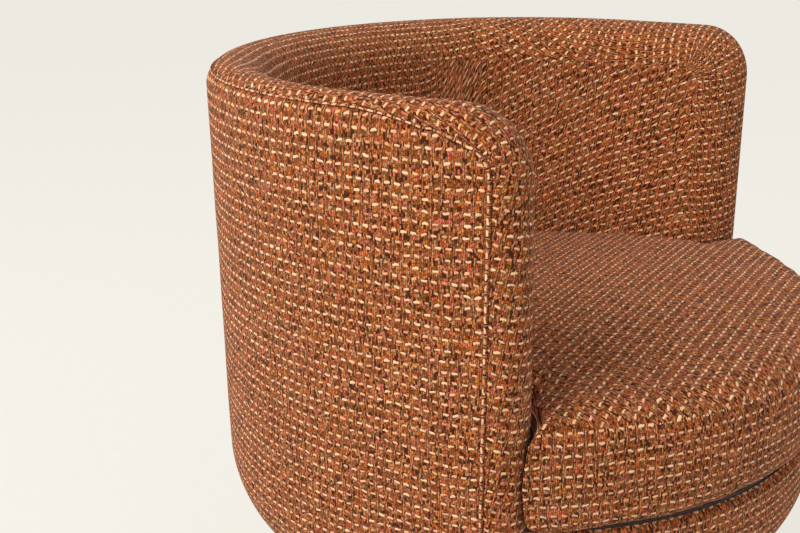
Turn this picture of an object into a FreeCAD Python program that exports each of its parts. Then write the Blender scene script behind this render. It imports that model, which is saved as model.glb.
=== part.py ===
import FreeCAD, Part
import math
import os
from FreeCAD import Vector

# Swivel rocker: a round upholstered tub chair that turns on a ball bearing and rocks on a cross shaft.
# Millimetres. +Z is up and the sitter faces -Y. The origin is on the floor, on the swivel axis.

# Plan of the tub, outside
half_width = 390.0
widest_y = 30.0
corner_centre_x = 60.0
back_half_sweep = 36.87
side_radius = 1135.0
side_sweep = 8.5
wall_thickness = 82.0

# Heights of the tub
crown_height = 730.0
underside_height = 82.0
tuck_height = 255.0
tuck_radius = 120.0
tuck_degrees = 45.0

# Crown of the wall and front of the arms
crown_outer_radius = 25.0
seam_drop = 10.0
arm_front_thickness = 10.0
arm_front_corner_radius = 70.0
welt_radius = 2.6
welt_depth = 1.0

# Layers of the wall
layer_gap = 0.3
cover_thickness = 7.0
board_thickness = 3.0
frame_thickness = 34.0
crown_pad_height = 28.0

# Front rail
front_radius = 395.0
front_rail_height = 60.0

# Seat deck and cushion
deck_height = 294.0
spring_wire = 4.0
felt_thickness = 5.5
deck_cloth_thickness = 1.5
cushion_front_radius = 410.0
cushion_ear_radius = 28.0
cushion_side_gap = 1.6
cushion_edge_height = 124.0
cushion_crown = 15.0
cushion_cover_thickness = 3.0
cushion_base_thickness = 3.0

# Frame
hoop_inner_radius = 205.0
hoop_inner_y = 7.5
rib_thickness = 18.0
arm_post_thickness = 30.0
top_rail_height = 40.0
seat_rail_height = 34.0
seat_rail_thickness = 22.0
mounting_rail_width = 32.0
mounting_rail_height = 40.0
mounting_rail_x = 92.0
mounting_rail_overlap = 14.0
board_clearance = 0.6

# Sinuous seat springs
sinuous_spacing = 125.0
sinuous_count = 4
sinuous_half_pitch = 46.0
sinuous_half_width = 25.0
clip_width = 14.0
clip_length = 16.0
clip_thickness = 1.5

# Base
glide_height = 6.0
glide_radius = 14.0
glide_count = 6
ring_radius = 250.0
ring_tube_radius = 12.5
cross_width = 36.0
cross_height = 20.0
cross_wall = 2.5
hub_radius = 84.0
hub_thickness = 4.0

# Swivel bearing
race_thickness = 5.0
race_outer_radius = 80.0
ball_radius = 4.0
ball_circle_radius = 68.0
ball_count = 16
track_clearance = 0.05
track_depth = 2.5
cage_thickness = 1.4
cage_clearance = 0.35
king_radius = 12.0
king_head_radius = 19.0
king_head_thickness = 3.0
running_clearance = 0.05

# Rock mechanism
tray_half_width = 115.0
tray_half_length = 120.0
plate_thickness = 4.0
plate_corner_radius = 14.0
tray_lip_height = 8.0
pivot_rise = 28.0
yoke_rise = 22.0
shaft_radius = 8.0
ear_radius = 15.0
ear_foot_half_length = 34.0
ear_gap = 4.0
bush_wall = 2.5
bush_flange_radius = 13.0
yoke_half_width = 124.0
yoke_half_length = 130.0
clip_ring_thickness = 1.5
clip_ring_radius = 12.5
shaft_overhang = 9.0
coil_x = 66.0
coil_y = 80.0
coil_wire = 5.0
coil_mean_radius = 19.0
coil_turns = 4
seat_boss_height = 3.0
stop_y = 106.0
stop_x = 30.0
stop_radius = 8.0
stop_clearance = 0.8
rock_back_degrees = 8.0
rock_front_degrees = 6.0

# Fasteners
bolt_radius = 4.0
bolt_head_radius = 7.0
bolt_head_height = 4.5
bolt_clearance = 0.3
hub_bolt_circle = 46.0
tray_bolt_circle = 46.0
yoke_bolt_y = 100.0

# Places that follow from the sizes above
corner_radius = half_width - corner_centre_x
back_centre_y = widest_y - corner_centre_x / math.tan(math.radians(back_half_sweep))
back_radius = corner_radius + corner_centre_x / math.sin(math.radians(back_half_sweep))
board_depth = cover_thickness + layer_gap
frame_depth = board_depth + board_thickness + board_clearance
inner_board_depth = frame_depth + frame_thickness + layer_gap
inside_pad_depth = inner_board_depth + board_thickness + layer_gap
inside_cover_depth = wall_thickness - cover_thickness
crown_inner_radius = wall_thickness - crown_outer_radius
hoop_bottom = underside_height + deck_cloth_thickness
top_rail_top = crown_height - crown_pad_height - cover_thickness
top_rail_bottom = top_rail_top - top_rail_height
felt_bottom = deck_height + spring_wire + layer_gap
deck_top = felt_bottom + felt_thickness + layer_gap + deck_cloth_thickness
cushion_bottom = deck_top + layer_gap

seam_turn = math.radians(side_sweep)
side_centre_x = half_width - side_radius
arm_seam_x = side_centre_x + side_radius * math.cos(seam_turn)
arm_seam_y = widest_y - side_radius * math.sin(seam_turn)
arm_face_y = arm_seam_y - arm_front_thickness
corner_height = crown_height - arm_front_corner_radius
corner_y = arm_face_y + arm_front_corner_radius
welt_corner_radius = arm_front_corner_radius - arm_front_thickness
corner_cap_thickness = arm_front_thickness - welt_radius - layer_gap

ring_z = glide_height + ring_tube_radius
cross_top = glide_height + 2 * ring_tube_radius
hub_top = cross_top + hub_thickness
lower_race_top = hub_top + race_thickness
ball_z = lower_race_top - track_depth + ball_radius + track_clearance
upper_race_bottom = 2 * ball_z - lower_race_top
upper_race_top = upper_race_bottom + race_thickness
tray_top = upper_race_top + plate_thickness
pivot_z = tray_top + pivot_rise
yoke_bottom = pivot_z + yoke_rise
yoke_top = yoke_bottom + plate_thickness
hoop_top = yoke_top
tray_ear_inner_x = tray_half_width - plate_thickness
yoke_ear_outer_x = tray_ear_inner_x - ear_gap


def outline_face(start, moves):
    """Face in the XZ plane from a start and moves: an end point for a line, a middle and an end for an arc."""
    edges = []
    here = Vector(start[0], 0, start[1])
    for move in moves:
        there = Vector(move[-2], 0, move[-1])
        if len(move) == 2:
            edges.append(Part.makeLine(here, there))
        else:
            edges.append(Part.Arc(here, Vector(move[0], 0, move[1]), there).toShape())
        here = there
    return Part.Face(Part.Wire(edges))


def plan_face(start, moves, height):
    """Level face at a height, from a start and moves given as for outline_face."""
    face = outline_face(start, moves)
    face.rotate(Vector(0, 0, 0), Vector(1, 0, 0), -90)
    face.translate(Vector(0, 0, height))
    return face


def block(x0, x1, y0, y1, z0, z1):
    """Box between its low and high corners."""
    return Part.makeBox(x1 - x0, y1 - y0, z1 - z0, Vector(x0, y0, z0))


def post(radius, z0, z1, x=0.0, y=0.0):
    """Upright cylinder."""
    return Part.makeCylinder(radius, z1 - z0, Vector(x, y, z0))


def plan_stretches():
    """Centre, radius, first angle and sweep of the five arcs of the plan, from the right arm round to the left."""
    corner_sweep = 90 - back_half_sweep
    return [
        (side_centre_x, widest_y, side_radius, -side_sweep, side_sweep),
        (corner_centre_x, widest_y, corner_radius, 0, corner_sweep),
        (0, back_centre_y, back_radius, corner_sweep, 2 * back_half_sweep),
        (-corner_centre_x, widest_y, corner_radius, 180 - corner_sweep, corner_sweep),
        (-side_centre_x, widest_y, side_radius, 180, side_sweep),
    ]


def wall(section, end_trim=0.0):
    """Wall round the tub. The section's x is minus its depth behind the outside; both ends are cut back by end_trim."""
    pieces = []
    for centre_x, centre_y, radius, first, sweep in plan_stretches():
        if radius == side_radius:
            sweep = sweep - end_trim
            first = first + end_trim if first < 0 else first
        piece = section.copy()
        piece.translate(Vector(radius, 0, 0))
        piece = piece.revolve(Vector(0, 0, 0), Vector(0, 0, 1), sweep)
        piece.rotate(Vector(0, 0, 0), Vector(0, 0, 1), first)
        piece.translate(Vector(centre_x, centre_y, 0))
        pieces.append(piece)
    return pieces[0].fuse(pieces[1:]).removeSplitter()


def tuck_point(layer, degrees):
    """Point of the layer's face on the arc that turns the foot under, as section x and height."""
    turn = math.radians(degrees)
    radius = tuck_radius - layer
    return radius * math.cos(turn) - tuck_radius, tuck_height - radius * math.sin(turn)


def foot_point(layer, height):
    """Point of the layer's face on the slope below the tuck's arc."""
    x, z = tuck_point(layer, tuck_degrees)
    return x - (z - height) * math.tan(math.radians(tuck_degrees)), height


def tuck_up(layer):
    """Moves from the slope up round the tuck to the straight part of the layer's face."""
    return [tuck_point(layer, tuck_degrees), tuck_point(layer, tuck_degrees / 2) + (-layer, tuck_height)]


def tuck_down(layer, bottom):
    """Moves from the straight part of the layer's face down round the tuck to its foot."""
    return [
        tuck_point(layer, tuck_degrees / 2) + tuck_point(layer, tuck_degrees),
        foot_point(layer, bottom),
    ]


def layer_section(outer, inner, bottom, top):
    """Section of a wall layer between two depths, straight above the tuck and turned under below it."""
    foot = foot_point(outer, bottom)
    return outline_face(
        foot,
        tuck_up(outer)
        + [(-outer, top), (-inner, top), (-inner, tuck_height)]
        + tuck_down(inner, bottom)
        + [foot],
    )


def straight_section(outer, inner, bottom, top):
    """Rectangular section of a wall layer between two depths."""
    return outline_face(
        (-outer, bottom), [(-outer, top), (-inner, top), (-inner, bottom), (-outer, bottom)]
    )


def crown_point(layer, degrees):
    """Point of a layer's crown: 0 degrees is on the outside face, 90 at the top and 180 on the inside face."""
    radius = crown_outer_radius if degrees <= 90 else crown_inner_radius
    turn = math.radians(degrees)
    depth = crown_outer_radius - (radius - layer) * math.cos(turn)
    height = crown_height - radius + (radius - layer) * math.sin(turn)
    return -depth, height


def crown_degrees(layer, depth):
    """Place on a layer's crown at a depth behind the outside."""
    away = crown_outer_radius - depth
    if away >= 0:
        return math.degrees(math.acos(away / (crown_outer_radius - layer)))
    return 180 - math.degrees(math.acos(-away / (crown_inner_radius - layer)))


def seam_degrees():
    """Place of the top seam on the crown's outer arc."""
    return math.degrees(math.asin(1 - seam_drop / crown_outer_radius))


def seam_half_gap():
    """Half of the slot that the covers leave for the welt, in degrees of the crown's outer arc."""
    inner_radius = crown_outer_radius - cover_thickness
    return math.degrees(math.asin((welt_radius + layer_gap) / inner_radius))


def outside_section(bottom, seam):
    """Section of the outside skin, from a height in the straight part up to a place on the crown."""
    thick = cover_thickness
    crown_start = crown_height - crown_outer_radius
    return outline_face(
        (0, bottom),
        [
            (0, crown_start),
            crown_point(0, seam / 2) + crown_point(0, seam),
            crown_point(thick, seam),
            crown_point(thick, seam / 2) + (-thick, crown_start),
            (-thick, bottom),
            (0, bottom),
        ],
    )


def outside_cover():
    """Outside cover, from the foot up to the seam near the crown."""
    upper = outside_section(tuck_height, seam_degrees() - seam_half_gap())
    lower = outline_face(
        (0, tuck_height),
        [(-cover_thickness, tuck_height)]
        + tuck_down(cover_thickness, underside_height)
        + [foot_point(0, underside_height)]
        + tuck_up(0),
    )
    room = math.degrees((welt_radius + 2 * layer_gap) / side_radius)
    cover = wall(upper).fuse(wall(lower, room)).removeSplitter()
    return cover.common(arm_profile(welt_radius + layer_gap + arm_front_thickness))


def inside_cover():
    """Inside cover, from the seat deck up and over the crown to the outside seam."""
    seam = seam_degrees() + seam_half_gap()
    thick = cover_thickness
    before_top = (seam + 90) / 2
    inner_start = crown_height - crown_inner_radius
    section = outline_face(
        crown_point(0, seam),
        [
            crown_point(0, before_top) + crown_point(0, 90),
            crown_point(0, 135) + (-wall_thickness, inner_start),
            (-wall_thickness, felt_bottom),
            (-wall_thickness + thick, felt_bottom),
            (-wall_thickness + thick, inner_start),
            crown_point(thick, 135) + crown_point(thick, 90),
            crown_point(thick, before_top) + crown_point(thick, seam),
            crown_point(0, seam),
        ],
    )
    return wall(section).common(arm_profile(corner_cap_thickness + layer_gap))


def arm_profile(inset):
    """Side view of the tub as one solid, with the rounded front top corner of the arms drawn in by an inset."""
    radius = arm_front_corner_radius - inset
    front = corner_y - radius
    back = widest_y + half_width * 2
    corner = radius * math.sqrt(0.5)
    face = outline_face(
        (front, 0),
        [
            (front, corner_height),
            (corner_y - corner, corner_height + corner, corner_y, corner_height + radius),
            (corner_y, crown_height + radius),
            (back, crown_height + radius),
            (back, 0),
            (front, 0),
        ],
    )
    face.rotate(Vector(0, 0, 0), Vector(0, 0, 1), 90)
    solid = face.extrude(Vector(4 * half_width, 0, 0))
    solid.translate(Vector(-2 * half_width, 0, 0))
    return solid


def place_at_arm_front(shape, side, forward):
    """Stand a shape drawn in the section's plane at an arm's front seam and move it forward."""
    shape = shape.copy()
    shape.translate(Vector(side_radius, -forward, 0))
    shape.rotate(Vector(0, 0, 0), Vector(0, 0, 1), -side_sweep)
    shape.translate(Vector(side_centre_x, widest_y, 0))
    if side < 0:
        shape = shape.mirror(Vector(0, 0, 0), Vector(1, 0, 0))
    return shape


def arm_front(side):
    """Front cover of an arm: a slab with the outline of the wall's section, and the cap over the front corner."""
    inset = welt_depth + welt_radius + layer_gap
    inner_start = crown_height - crown_inner_radius
    crown_start = crown_height - crown_outer_radius
    foot = foot_point(inset, underside_height)
    inner_foot = (foot_point(0, underside_height)[0] - wall_thickness / 2, underside_height)
    section = outline_face(
        foot,
        tuck_up(inset)
        + [
            (-inset, crown_start),
            crown_point(inset, 45) + crown_point(inset, 90),
            crown_point(inset, 135) + (-wall_thickness + inset, inner_start),
            (-wall_thickness + inset, deck_height),
            inner_foot,
            foot,
        ],
    )
    slab = section.extrude(Vector(0, -arm_front_thickness, 0))
    slab = place_at_arm_front(slab, side, 0)
    return slab.common(arm_profile(0)).fuse(corner_cap(side)).removeSplitter()


def corner_cap(side):
    """Curved cap over the rounded front top corner of an arm, from the slab back to the inside cover."""
    inner_start = crown_height - crown_inner_radius
    crown_start = crown_height - crown_outer_radius
    bottom = corner_height - welt_corner_radius
    section = outline_face(
        (0, bottom),
        [
            (0, crown_start),
            crown_point(0, 45) + crown_point(0, 90),
            crown_point(0, 135) + (-wall_thickness, inner_start),
            (-wall_thickness, bottom),
            (0, bottom),
        ],
    )
    section.translate(Vector(side_radius, 0, 0))
    cap = section.revolve(Vector(0, 0, 0), Vector(0, 0, 1), 2 * side_sweep / 3)
    cap.rotate(Vector(0, 0, 0), Vector(0, 0, 1), -side_sweep)
    cap.translate(Vector(side_centre_x, widest_y, 0))
    if side < 0:
        cap = cap.mirror(Vector(0, 0, 0), Vector(1, 0, 0))
    cap = cap.common(arm_profile(0)).cut(arm_profile(corner_cap_thickness))
    reach = 2 * half_width
    return cap.common(block(-reach, reach, -reach, corner_y, bottom, crown_height + reach))


def top_welt():
    """Welt in the top seam, round the back and both arms to the start of the front corners."""
    x, z = crown_point(0, seam_degrees())
    circle = Part.Circle(Vector(x, 0, z), Vector(0, 1, 0), welt_radius)
    face = Part.Face(Part.Wire([circle.toShape()]))
    return wall(face, welt_end_trim())


def welt_end_trim():
    """Degrees of the side arc that the front corner of the arm takes from the top welt."""
    return math.degrees(welt_corner_radius / side_radius)


def arm_welt(side):
    """Welt round an arm's front corner and down the seam to the foot."""
    seam_x, seam_z = crown_point(0, seam_degrees())
    back_off = math.radians(welt_end_trim()) + layer_gap / side_radius / 2
    distance = side_radius + seam_x
    start = Vector(
        distance * math.cos(back_off) - side_radius, distance * math.sin(back_off), seam_z
    )
    start_way = Vector(math.sin(back_off), -math.cos(back_off), 0)
    turn_end = Vector(-welt_depth, 0, seam_z - welt_corner_radius)
    edges = biarc(start, start_way, turn_end, Vector(0, 0, -1))
    tuck = Vector(-welt_depth, 0, tuck_height)
    edges.append(Part.makeLine(turn_end, tuck))
    middle, slope, foot = (
        Vector(x, 0, z)
        for x, z in (
            tuck_point(welt_depth, tuck_degrees / 2),
            tuck_point(welt_depth, tuck_degrees),
            foot_point(welt_depth, underside_height + welt_radius),
        )
    )
    edges.append(Part.Arc(tuck, middle, slope).toShape())
    edges.append(Part.makeLine(slope, foot))
    return place_at_arm_front(tube(edges, start, start_way, welt_radius), side, 0)


def tube(edges, start, way, radius):
    """Round tube along a chain of lines and arcs."""
    shell = Part.BRepOffsetAPI.MakePipeShell(Part.Wire(edges))
    shell.add(Part.Wire([Part.Circle(start, way, radius).toShape()]))
    shell.build()
    shell.makeSolid()
    return shell.shape()


def outer_board():
    """Thin board bent round the outside of the frame."""
    top = crown_height - crown_outer_radius
    section = layer_section(board_depth, board_depth + board_thickness, hoop_bottom, top)
    return wall(section, arm_end_trim()).common(arm_profile(corner_cap_thickness + layer_gap))


def inner_board():
    """Thin board bent round the inside of the frame, above the seat rail."""
    top = top_rail_top
    section = straight_section(inner_board_depth, inner_board_depth + board_thickness, deck_top, top)
    return wall(section, arm_end_trim()).common(arm_profile(corner_cap_thickness + layer_gap))


def inside_pad():
    """Foam between the inner board and the inside cover, rounded over at the top."""
    layer = cover_thickness + layer_gap
    top = crown_degrees(layer, inside_pad_depth)
    inner = wall_thickness - layer
    section = outline_face(
        (-inside_pad_depth, deck_top),
        [
            crown_point(layer, top),
            crown_point(layer, (top + 180) / 2) + crown_point(layer, 180),
            (-inner, deck_top),
            (-inside_pad_depth, deck_top),
        ],
    )
    return wall(section, arm_end_trim()).common(arm_profile(layer))


def crown_roll():
    """Foam roll on the top rail, under the crown of the inside cover."""
    layer = cover_thickness + layer_gap
    base = top_rail_top + layer_gap
    outer = board_depth + board_thickness + layer_gap
    inner = inside_pad_depth - layer_gap
    rise = crown_degrees(layer, outer)
    fall = crown_degrees(layer, inner)
    section = outline_face(
        (-outer, base),
        [
            crown_point(layer, rise),
            crown_point(layer, (rise + 90) / 2) + crown_point(layer, 90),
            crown_point(layer, (fall + 90) / 2) + crown_point(layer, fall),
            (-inner, base),
            (-outer, base),
        ],
    )
    return wall(section, arm_end_trim()).common(arm_profile(layer + arm_front_thickness))


def arm_end_trim():
    """Degrees of the side arc between the arm's front seam and the ends of the inner layers."""
    return math.degrees(layer_gap / side_radius)


def rib_face():
    """Outline of a plywood rib, from the bottom hoop up to the top rail."""
    inner = frame_depth + frame_thickness
    heel = foot_point(frame_depth, hoop_top)
    return outline_face(
        heel,
        tuck_up(frame_depth)
        + [
            (-frame_depth, top_rail_bottom),
            (-inner, top_rail_bottom),
            (-inner, tuck_height),
            (heel[0] - 2 * frame_thickness, hoop_top),
            heel,
        ],
    )


def stand_rib(face, thickness, stretch, degrees):
    """Rib of a thickness at an angle on one stretch of the plan."""
    centre_x, centre_y, radius, first, sweep = plan_stretches()[stretch]
    rib = face.extrude(Vector(0, thickness, 0))
    rib.translate(Vector(radius, -thickness / 2, 0))
    rib.rotate(Vector(0, 0, 0), Vector(0, 0, 1), degrees)
    rib.translate(Vector(centre_x, centre_y, 0))
    return rib


def frame_ribs():
    """Seven ribs round the tub."""
    face = rib_face()
    places = [(1, 8), (1, 38), (2, 62), (2, 90), (2, 118), (3, 142), (3, 172)]
    ribs = [stand_rib(face, rib_thickness, stretch, degrees) for stretch, degrees in places]
    return Part.makeCompound(ribs)


def arm_posts():
    """Stouter post at the front of each arm, just behind the seam."""
    right = rib_face().extrude(Vector(0, arm_post_thickness, 0))
    right = place_at_arm_front(right, 1, -layer_gap)
    return Part.makeCompound([right, right.mirror(Vector(0, 0, 0), Vector(1, 0, 0))])


def top_rail():
    """Laminated rail bent round the top of the ribs."""
    section = straight_section(frame_depth, frame_depth + frame_thickness, top_rail_bottom, top_rail_top)
    return wall(section, math.degrees(arm_front_corner_radius / 2 / side_radius))


def seat_rail():
    """Rail round the inside of the ribs that carries the seat springs."""
    outer = frame_depth + frame_thickness
    section = straight_section(
        outer, outer + seat_rail_thickness, deck_height - seat_rail_height, deck_height
    )
    return wall(section, arm_end_trim())


def front_space():
    """Everything ahead of the front faces of both arms."""
    reach = 4 * half_width
    space = block(-2 * reach, 2 * reach, -reach, 0, -1, crown_height)
    forward = arm_front_thickness + layer_gap
    right = place_at_arm_front(space, 1, forward)
    return right.common(place_at_arm_front(space, -1, forward))


def front_band(section):
    """Curved band across the front with a wall section, between the arm fronts."""
    section = section.copy()
    section.translate(Vector(front_radius, 0, 0))
    section.rotate(Vector(0, 0, 0), Vector(0, 0, 1), 180)
    band = section.revolve(Vector(0, 0, 0), Vector(0, 0, 1), 180)
    band.translate(Vector(0, widest_y, 0))
    return band.common(front_space())


def front_rail_cover():
    """Cover of the front rail, from the deck down to the foot."""
    return front_band(layer_section(0, cover_thickness, underside_height, deck_top))


def front_board():
    """Thin board behind the front rail cover."""
    outer = board_depth
    return front_band(layer_section(outer, outer + board_thickness, hoop_bottom, deck_height))


def front_rail():
    """Bent front rail that carries the front ends of the seat springs."""
    bottom = max(deck_height - front_rail_height, tuck_height)
    outer = frame_depth
    return front_band(straight_section(outer, outer + seat_rail_thickness, bottom, deck_height))


def circle_point(radius, degrees, x=0.0, y=0.0):
    """Point of a circle in plan."""
    turn = math.radians(degrees)
    return x + radius * math.cos(turn), y + radius * math.sin(turn)


def hoop_outline():
    """Plan of the bottom hoop's outer edge, inside the boards at the foot, as a start and moves."""
    depth = -foot_point(board_depth + board_thickness + board_clearance, hoop_bottom)[0]
    moves = []
    start = None
    for centre_x, centre_y, radius, first, sweep in plan_stretches():
        inner = radius - depth
        if start is None:
            start = circle_point(inner, first, centre_x, centre_y)
        middle = circle_point(inner, first + sweep / 2, centre_x, centre_y)
        moves.append(middle + circle_point(inner, first + sweep, centre_x, centre_y))
    front = front_radius - depth
    along = arm_seam_x * math.cos(seam_turn) + (widest_y - arm_seam_y) * math.sin(seam_turn)
    span = arm_seam_x**2 + (widest_y - arm_seam_y) ** 2 - front**2
    reach = along - math.sqrt(along * along - span)
    turn = math.degrees(math.asin((widest_y - arm_seam_y - reach * math.sin(seam_turn)) / front))
    left = circle_point(front, 180 + turn, 0, widest_y)
    right = circle_point(front, -turn, 0, widest_y)
    moves.append(left)
    moves.append((0, widest_y - front) + right)
    moves.append(start)
    return start, moves


def bottom_hoop():
    """Plywood hoop at the foot of the frame."""
    start, moves = hoop_outline()
    hoop = plan_face(start, moves, hoop_bottom).extrude(Vector(0, 0, hoop_top - hoop_bottom))
    return hoop.cut(post(hoop_inner_radius, hoop_bottom - 1, hoop_top + 1, 0, hoop_inner_y))


def dust_cover():
    """Thin cloth under the hoop, open in the middle for the mechanism."""
    start, moves = hoop_outline()
    cloth = plan_face(start, moves, underside_height).extrude(Vector(0, 0, deck_cloth_thickness))
    opening = hoop_inner_radius - mounting_rail_overlap
    return cloth.cut(post(opening, underside_height - 1, hoop_bottom + 1, 0, hoop_inner_y))


def mounting_rails():
    """Two hardwood rails on the hoop that the yoke is bolted to."""
    half = mounting_rail_width / 2
    rails = []
    rear = hoop_inner_y + hoop_inner_radius + mounting_rail_overlap
    front = hoop_inner_y - hoop_inner_radius - mounting_rail_overlap
    for x in (-mounting_rail_x, mounting_rail_x):
        rail = block(x - half, x + half, front, rear, hoop_top, hoop_top + mounting_rail_height)
        for y in (-yoke_bolt_y, yoke_bolt_y):
            top = hoop_top + mounting_rail_height + 1
            rail = rail.cut(post(bolt_radius + bolt_clearance, hoop_top - 1, top, x, y))
        rails.append(rail)
    return Part.makeCompound(rails)


def tub_deck_face(depth, height):
    """Plan of the seat deck inside the wall at a depth, closed by the front rail's arc."""
    moves = []
    start = None
    for centre_x, centre_y, radius, first, sweep in plan_stretches():
        inner = radius - depth
        if start is None:
            start = circle_point(inner, first, centre_x, centre_y)
        middle = circle_point(inner, first + sweep / 2, centre_x, centre_y)
        moves.append(middle + circle_point(inner, first + sweep, centre_x, centre_y))
    front = front_radius - board_depth - board_thickness - layer_gap
    rear = arm_face_y - layer_gap
    reach = math.sqrt(front * front - (widest_y - rear) ** 2)
    end = moves[-1][-2:]
    moves.append((end[0], rear))
    moves.append((-reach, rear))
    moves.append((0, widest_y - front, reach, rear))
    moves.append((start[0], rear))
    moves.append(start)
    return plan_face(start, moves, height)


def deck_felt():
    """Felt on the seat springs."""
    depth = wall_thickness + layer_gap
    return tub_deck_face(depth, felt_bottom).extrude(Vector(0, 0, felt_thickness))


def deck_cloth():
    """Cloth over the felt, under the cushion."""
    depth = wall_thickness + layer_gap
    height = felt_bottom + felt_thickness + layer_gap
    return tub_deck_face(depth, height).extrude(Vector(0, 0, deck_cloth_thickness))


def seat_span(x):
    """Y of the front rail's and the seat rail's middles at a distance from the centre line."""
    front = front_radius - frame_depth - seat_rail_thickness / 2
    depth = frame_depth + frame_thickness + seat_rail_thickness / 2
    corner = corner_radius - depth
    away = abs(x)
    if away > corner_centre_x + corner * math.sin(math.radians(back_half_sweep)):
        back = widest_y + math.sqrt(corner * corner - (away - corner_centre_x) ** 2)
    else:
        back = back_centre_y + math.sqrt((back_radius - depth) ** 2 - away * away)
    return widest_y - math.sqrt(front * front - away * away), back


def sinuous_spring(x):
    """Zigzag of flat wire from the front rail to the seat rail."""
    front, back = seat_span(x)
    length = back - front
    count = 2 * math.ceil(length / sinuous_half_pitch / 2)
    pitch = length / count
    radius = pitch / 2
    flank = sinuous_half_width - radius
    half = spring_wire / 2
    side = 1
    pieces = []
    for turn in range(count - 1):
        y = front + pitch / 2 + turn * pitch
        run = block(x - flank, x + flank, y - half, y + half, 0, spring_wire)
        pieces.append(run)
        bend_x = x + side * flank
        bend = post(radius + half, 0, spring_wire, bend_x, y + radius)
        bend = bend.cut(post(radius - half, -1, spring_wire + 1, bend_x, y + radius))
        low = bend_x if side > 0 else bend_x - radius - half
        high = bend_x + radius + half if side > 0 else bend_x
        keep = block(low, high, y - half, y + pitch + half, -1, spring_wire + 1)
        pieces.append(bend.common(keep))
        side = -side
    last = y + pitch
    pieces.append(block(x - flank, x + flank, last - half, last + half, 0, spring_wire))
    pieces.append(block(x - half, x + half, front - half, front + pitch / 2, 0, spring_wire))
    pieces.append(block(x - half, x + half, last, back + half, 0, spring_wire))
    spring = pieces[0].fuse(pieces[1:]).removeSplitter()
    spring.translate(Vector(0, 0, deck_height))
    return spring


def sinuous_places():
    """Distances of the seat springs from the centre line."""
    middle = (sinuous_count - 1) / 2
    return [(index - middle) * sinuous_spacing for index in range(sinuous_count)]


def sinuous_springs():
    """The row of seat springs."""
    return Part.makeCompound([sinuous_spring(x) for x in sinuous_places()])


def spring_clip(x, y):
    """Bent clip that holds a spring's end on its rail."""
    half = clip_width / 2
    wire_half = spring_wire / 2 + layer_gap
    top = spring_wire + layer_gap
    clip = block(x - half, x + half, y - clip_length / 2, y + clip_length / 2, 0, clip_thickness)
    bridge = block(
        x - wire_half - clip_thickness,
        x + wire_half + clip_thickness,
        y - clip_length / 4,
        y + clip_length / 4,
        0,
        top,
    )
    wide = block(x - wire_half, x + wire_half, y - clip_length, y + clip_length, -1, top + 1)
    clip = clip.fuse(bridge).cut(wide)
    clip.translate(Vector(0, 0, deck_height))
    return clip


def spring_clips():
    """A pair of clip cheeks at both ends of every seat spring."""
    clips = []
    for x in sinuous_places():
        front, back = seat_span(x)
        clips.append(spring_clip(x, front))
        clips.append(spring_clip(x, back))
    return Part.makeCompound(clips)


def arm_face_line(x):
    """Y of the arm front's face at a distance from the centre line."""
    return arm_face_y + (arm_seam_x - x) * math.tan(seam_turn)


def cushion_outline(inset, height):
    """Closed plan of the T cushion, drawn in by an inset, at a height."""
    depth = wall_thickness + cushion_side_gap + inset
    stretches = plan_stretches()
    ear_rear = arm_face_line(arm_seam_x - 2 * cushion_ear_radius) - cushion_side_gap - inset
    side = side_radius - depth
    notch_y = arm_face_line(arm_seam_x - depth) - cushion_side_gap - inset
    notch = math.degrees(math.asin((widest_y - notch_y) / side))
    moves = []
    start = circle_point(side, -notch, side_centre_x, widest_y)
    moves.append(
        circle_point(side, -notch / 2, side_centre_x, widest_y)
        + circle_point(side, 0, side_centre_x, widest_y)
    )
    for centre_x, centre_y, radius, first, sweep in stretches[1:4]:
        inner = radius - depth
        middle = circle_point(inner, first + sweep / 2, centre_x, centre_y)
        moves.append(middle + circle_point(inner, first + sweep, centre_x, centre_y))
    moves.append(
        circle_point(side, 180 + notch / 2, -side_centre_x, widest_y)
        + circle_point(side, 180 + notch, -side_centre_x, widest_y)
    )
    front = cushion_front_radius - inset
    corner = cushion_ear_radius - inset * 0.4
    centre_drop = widest_y - ear_rear + corner
    centre_x = math.sqrt((front - corner) ** 2 - centre_drop**2)
    centre_y = widest_y - centre_drop
    turn = math.degrees(math.atan2(centre_drop, centre_x))
    touch = circle_point(front, -turn, 0, widest_y)
    middle = circle_point(corner, (90 - turn) / 2, centre_x, centre_y)
    moves.append((-centre_x, ear_rear))
    moves.append((-middle[0], middle[1], -touch[0], touch[1]))
    moves.append((0, widest_y - front) + touch)
    moves.append(middle + (centre_x, ear_rear))
    moves.append(start)
    return plan_face(start, moves, height).OuterWire


def cushion_body(skin):
    """Cushion with drawn-in sides and a crowned top, made smaller all round by a skin thickness."""
    top = cushion_bottom + cushion_edge_height
    steps = [
        (0.0, 12.0),
        (0.12, 3.5),
        (0.5, 0.0),
        (0.88, 3.5),
        (1.2, 26.0),
    ]
    wires = []
    for share, inset in steps:
        height = cushion_bottom + share * cushion_edge_height
        wires.append(cushion_outline(inset + skin, height))
    body = Part.makeLoft(wires, True, True)
    reach = cushion_front_radius
    dome_radius = (reach * reach + cushion_crown**2) / (2 * cushion_crown) - skin
    dome_centre = top + cushion_crown - dome_radius - skin
    turn = math.asin(min(0.9, 1.3 * reach / dome_radius))
    rim = (dome_radius * math.sin(turn), dome_centre + dome_radius * math.cos(turn))
    half = (dome_radius * math.sin(turn / 2), dome_centre + dome_radius * math.cos(turn / 2))
    low = cushion_bottom - 1
    dome = outline_face(
        (0, low),
        [(rim[0], low), rim, half + (0, dome_centre + dome_radius), (0, low)],
    )
    dome = dome.revolve(Vector(0, 0, 0), Vector(0, 0, 1), 360)
    return body.common(dome)


def cushion_slice(body, low, high):
    """Part of the cushion between two heights."""
    reach = 2 * half_width
    return body.common(block(-reach, reach, -reach, reach, low, high))


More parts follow.
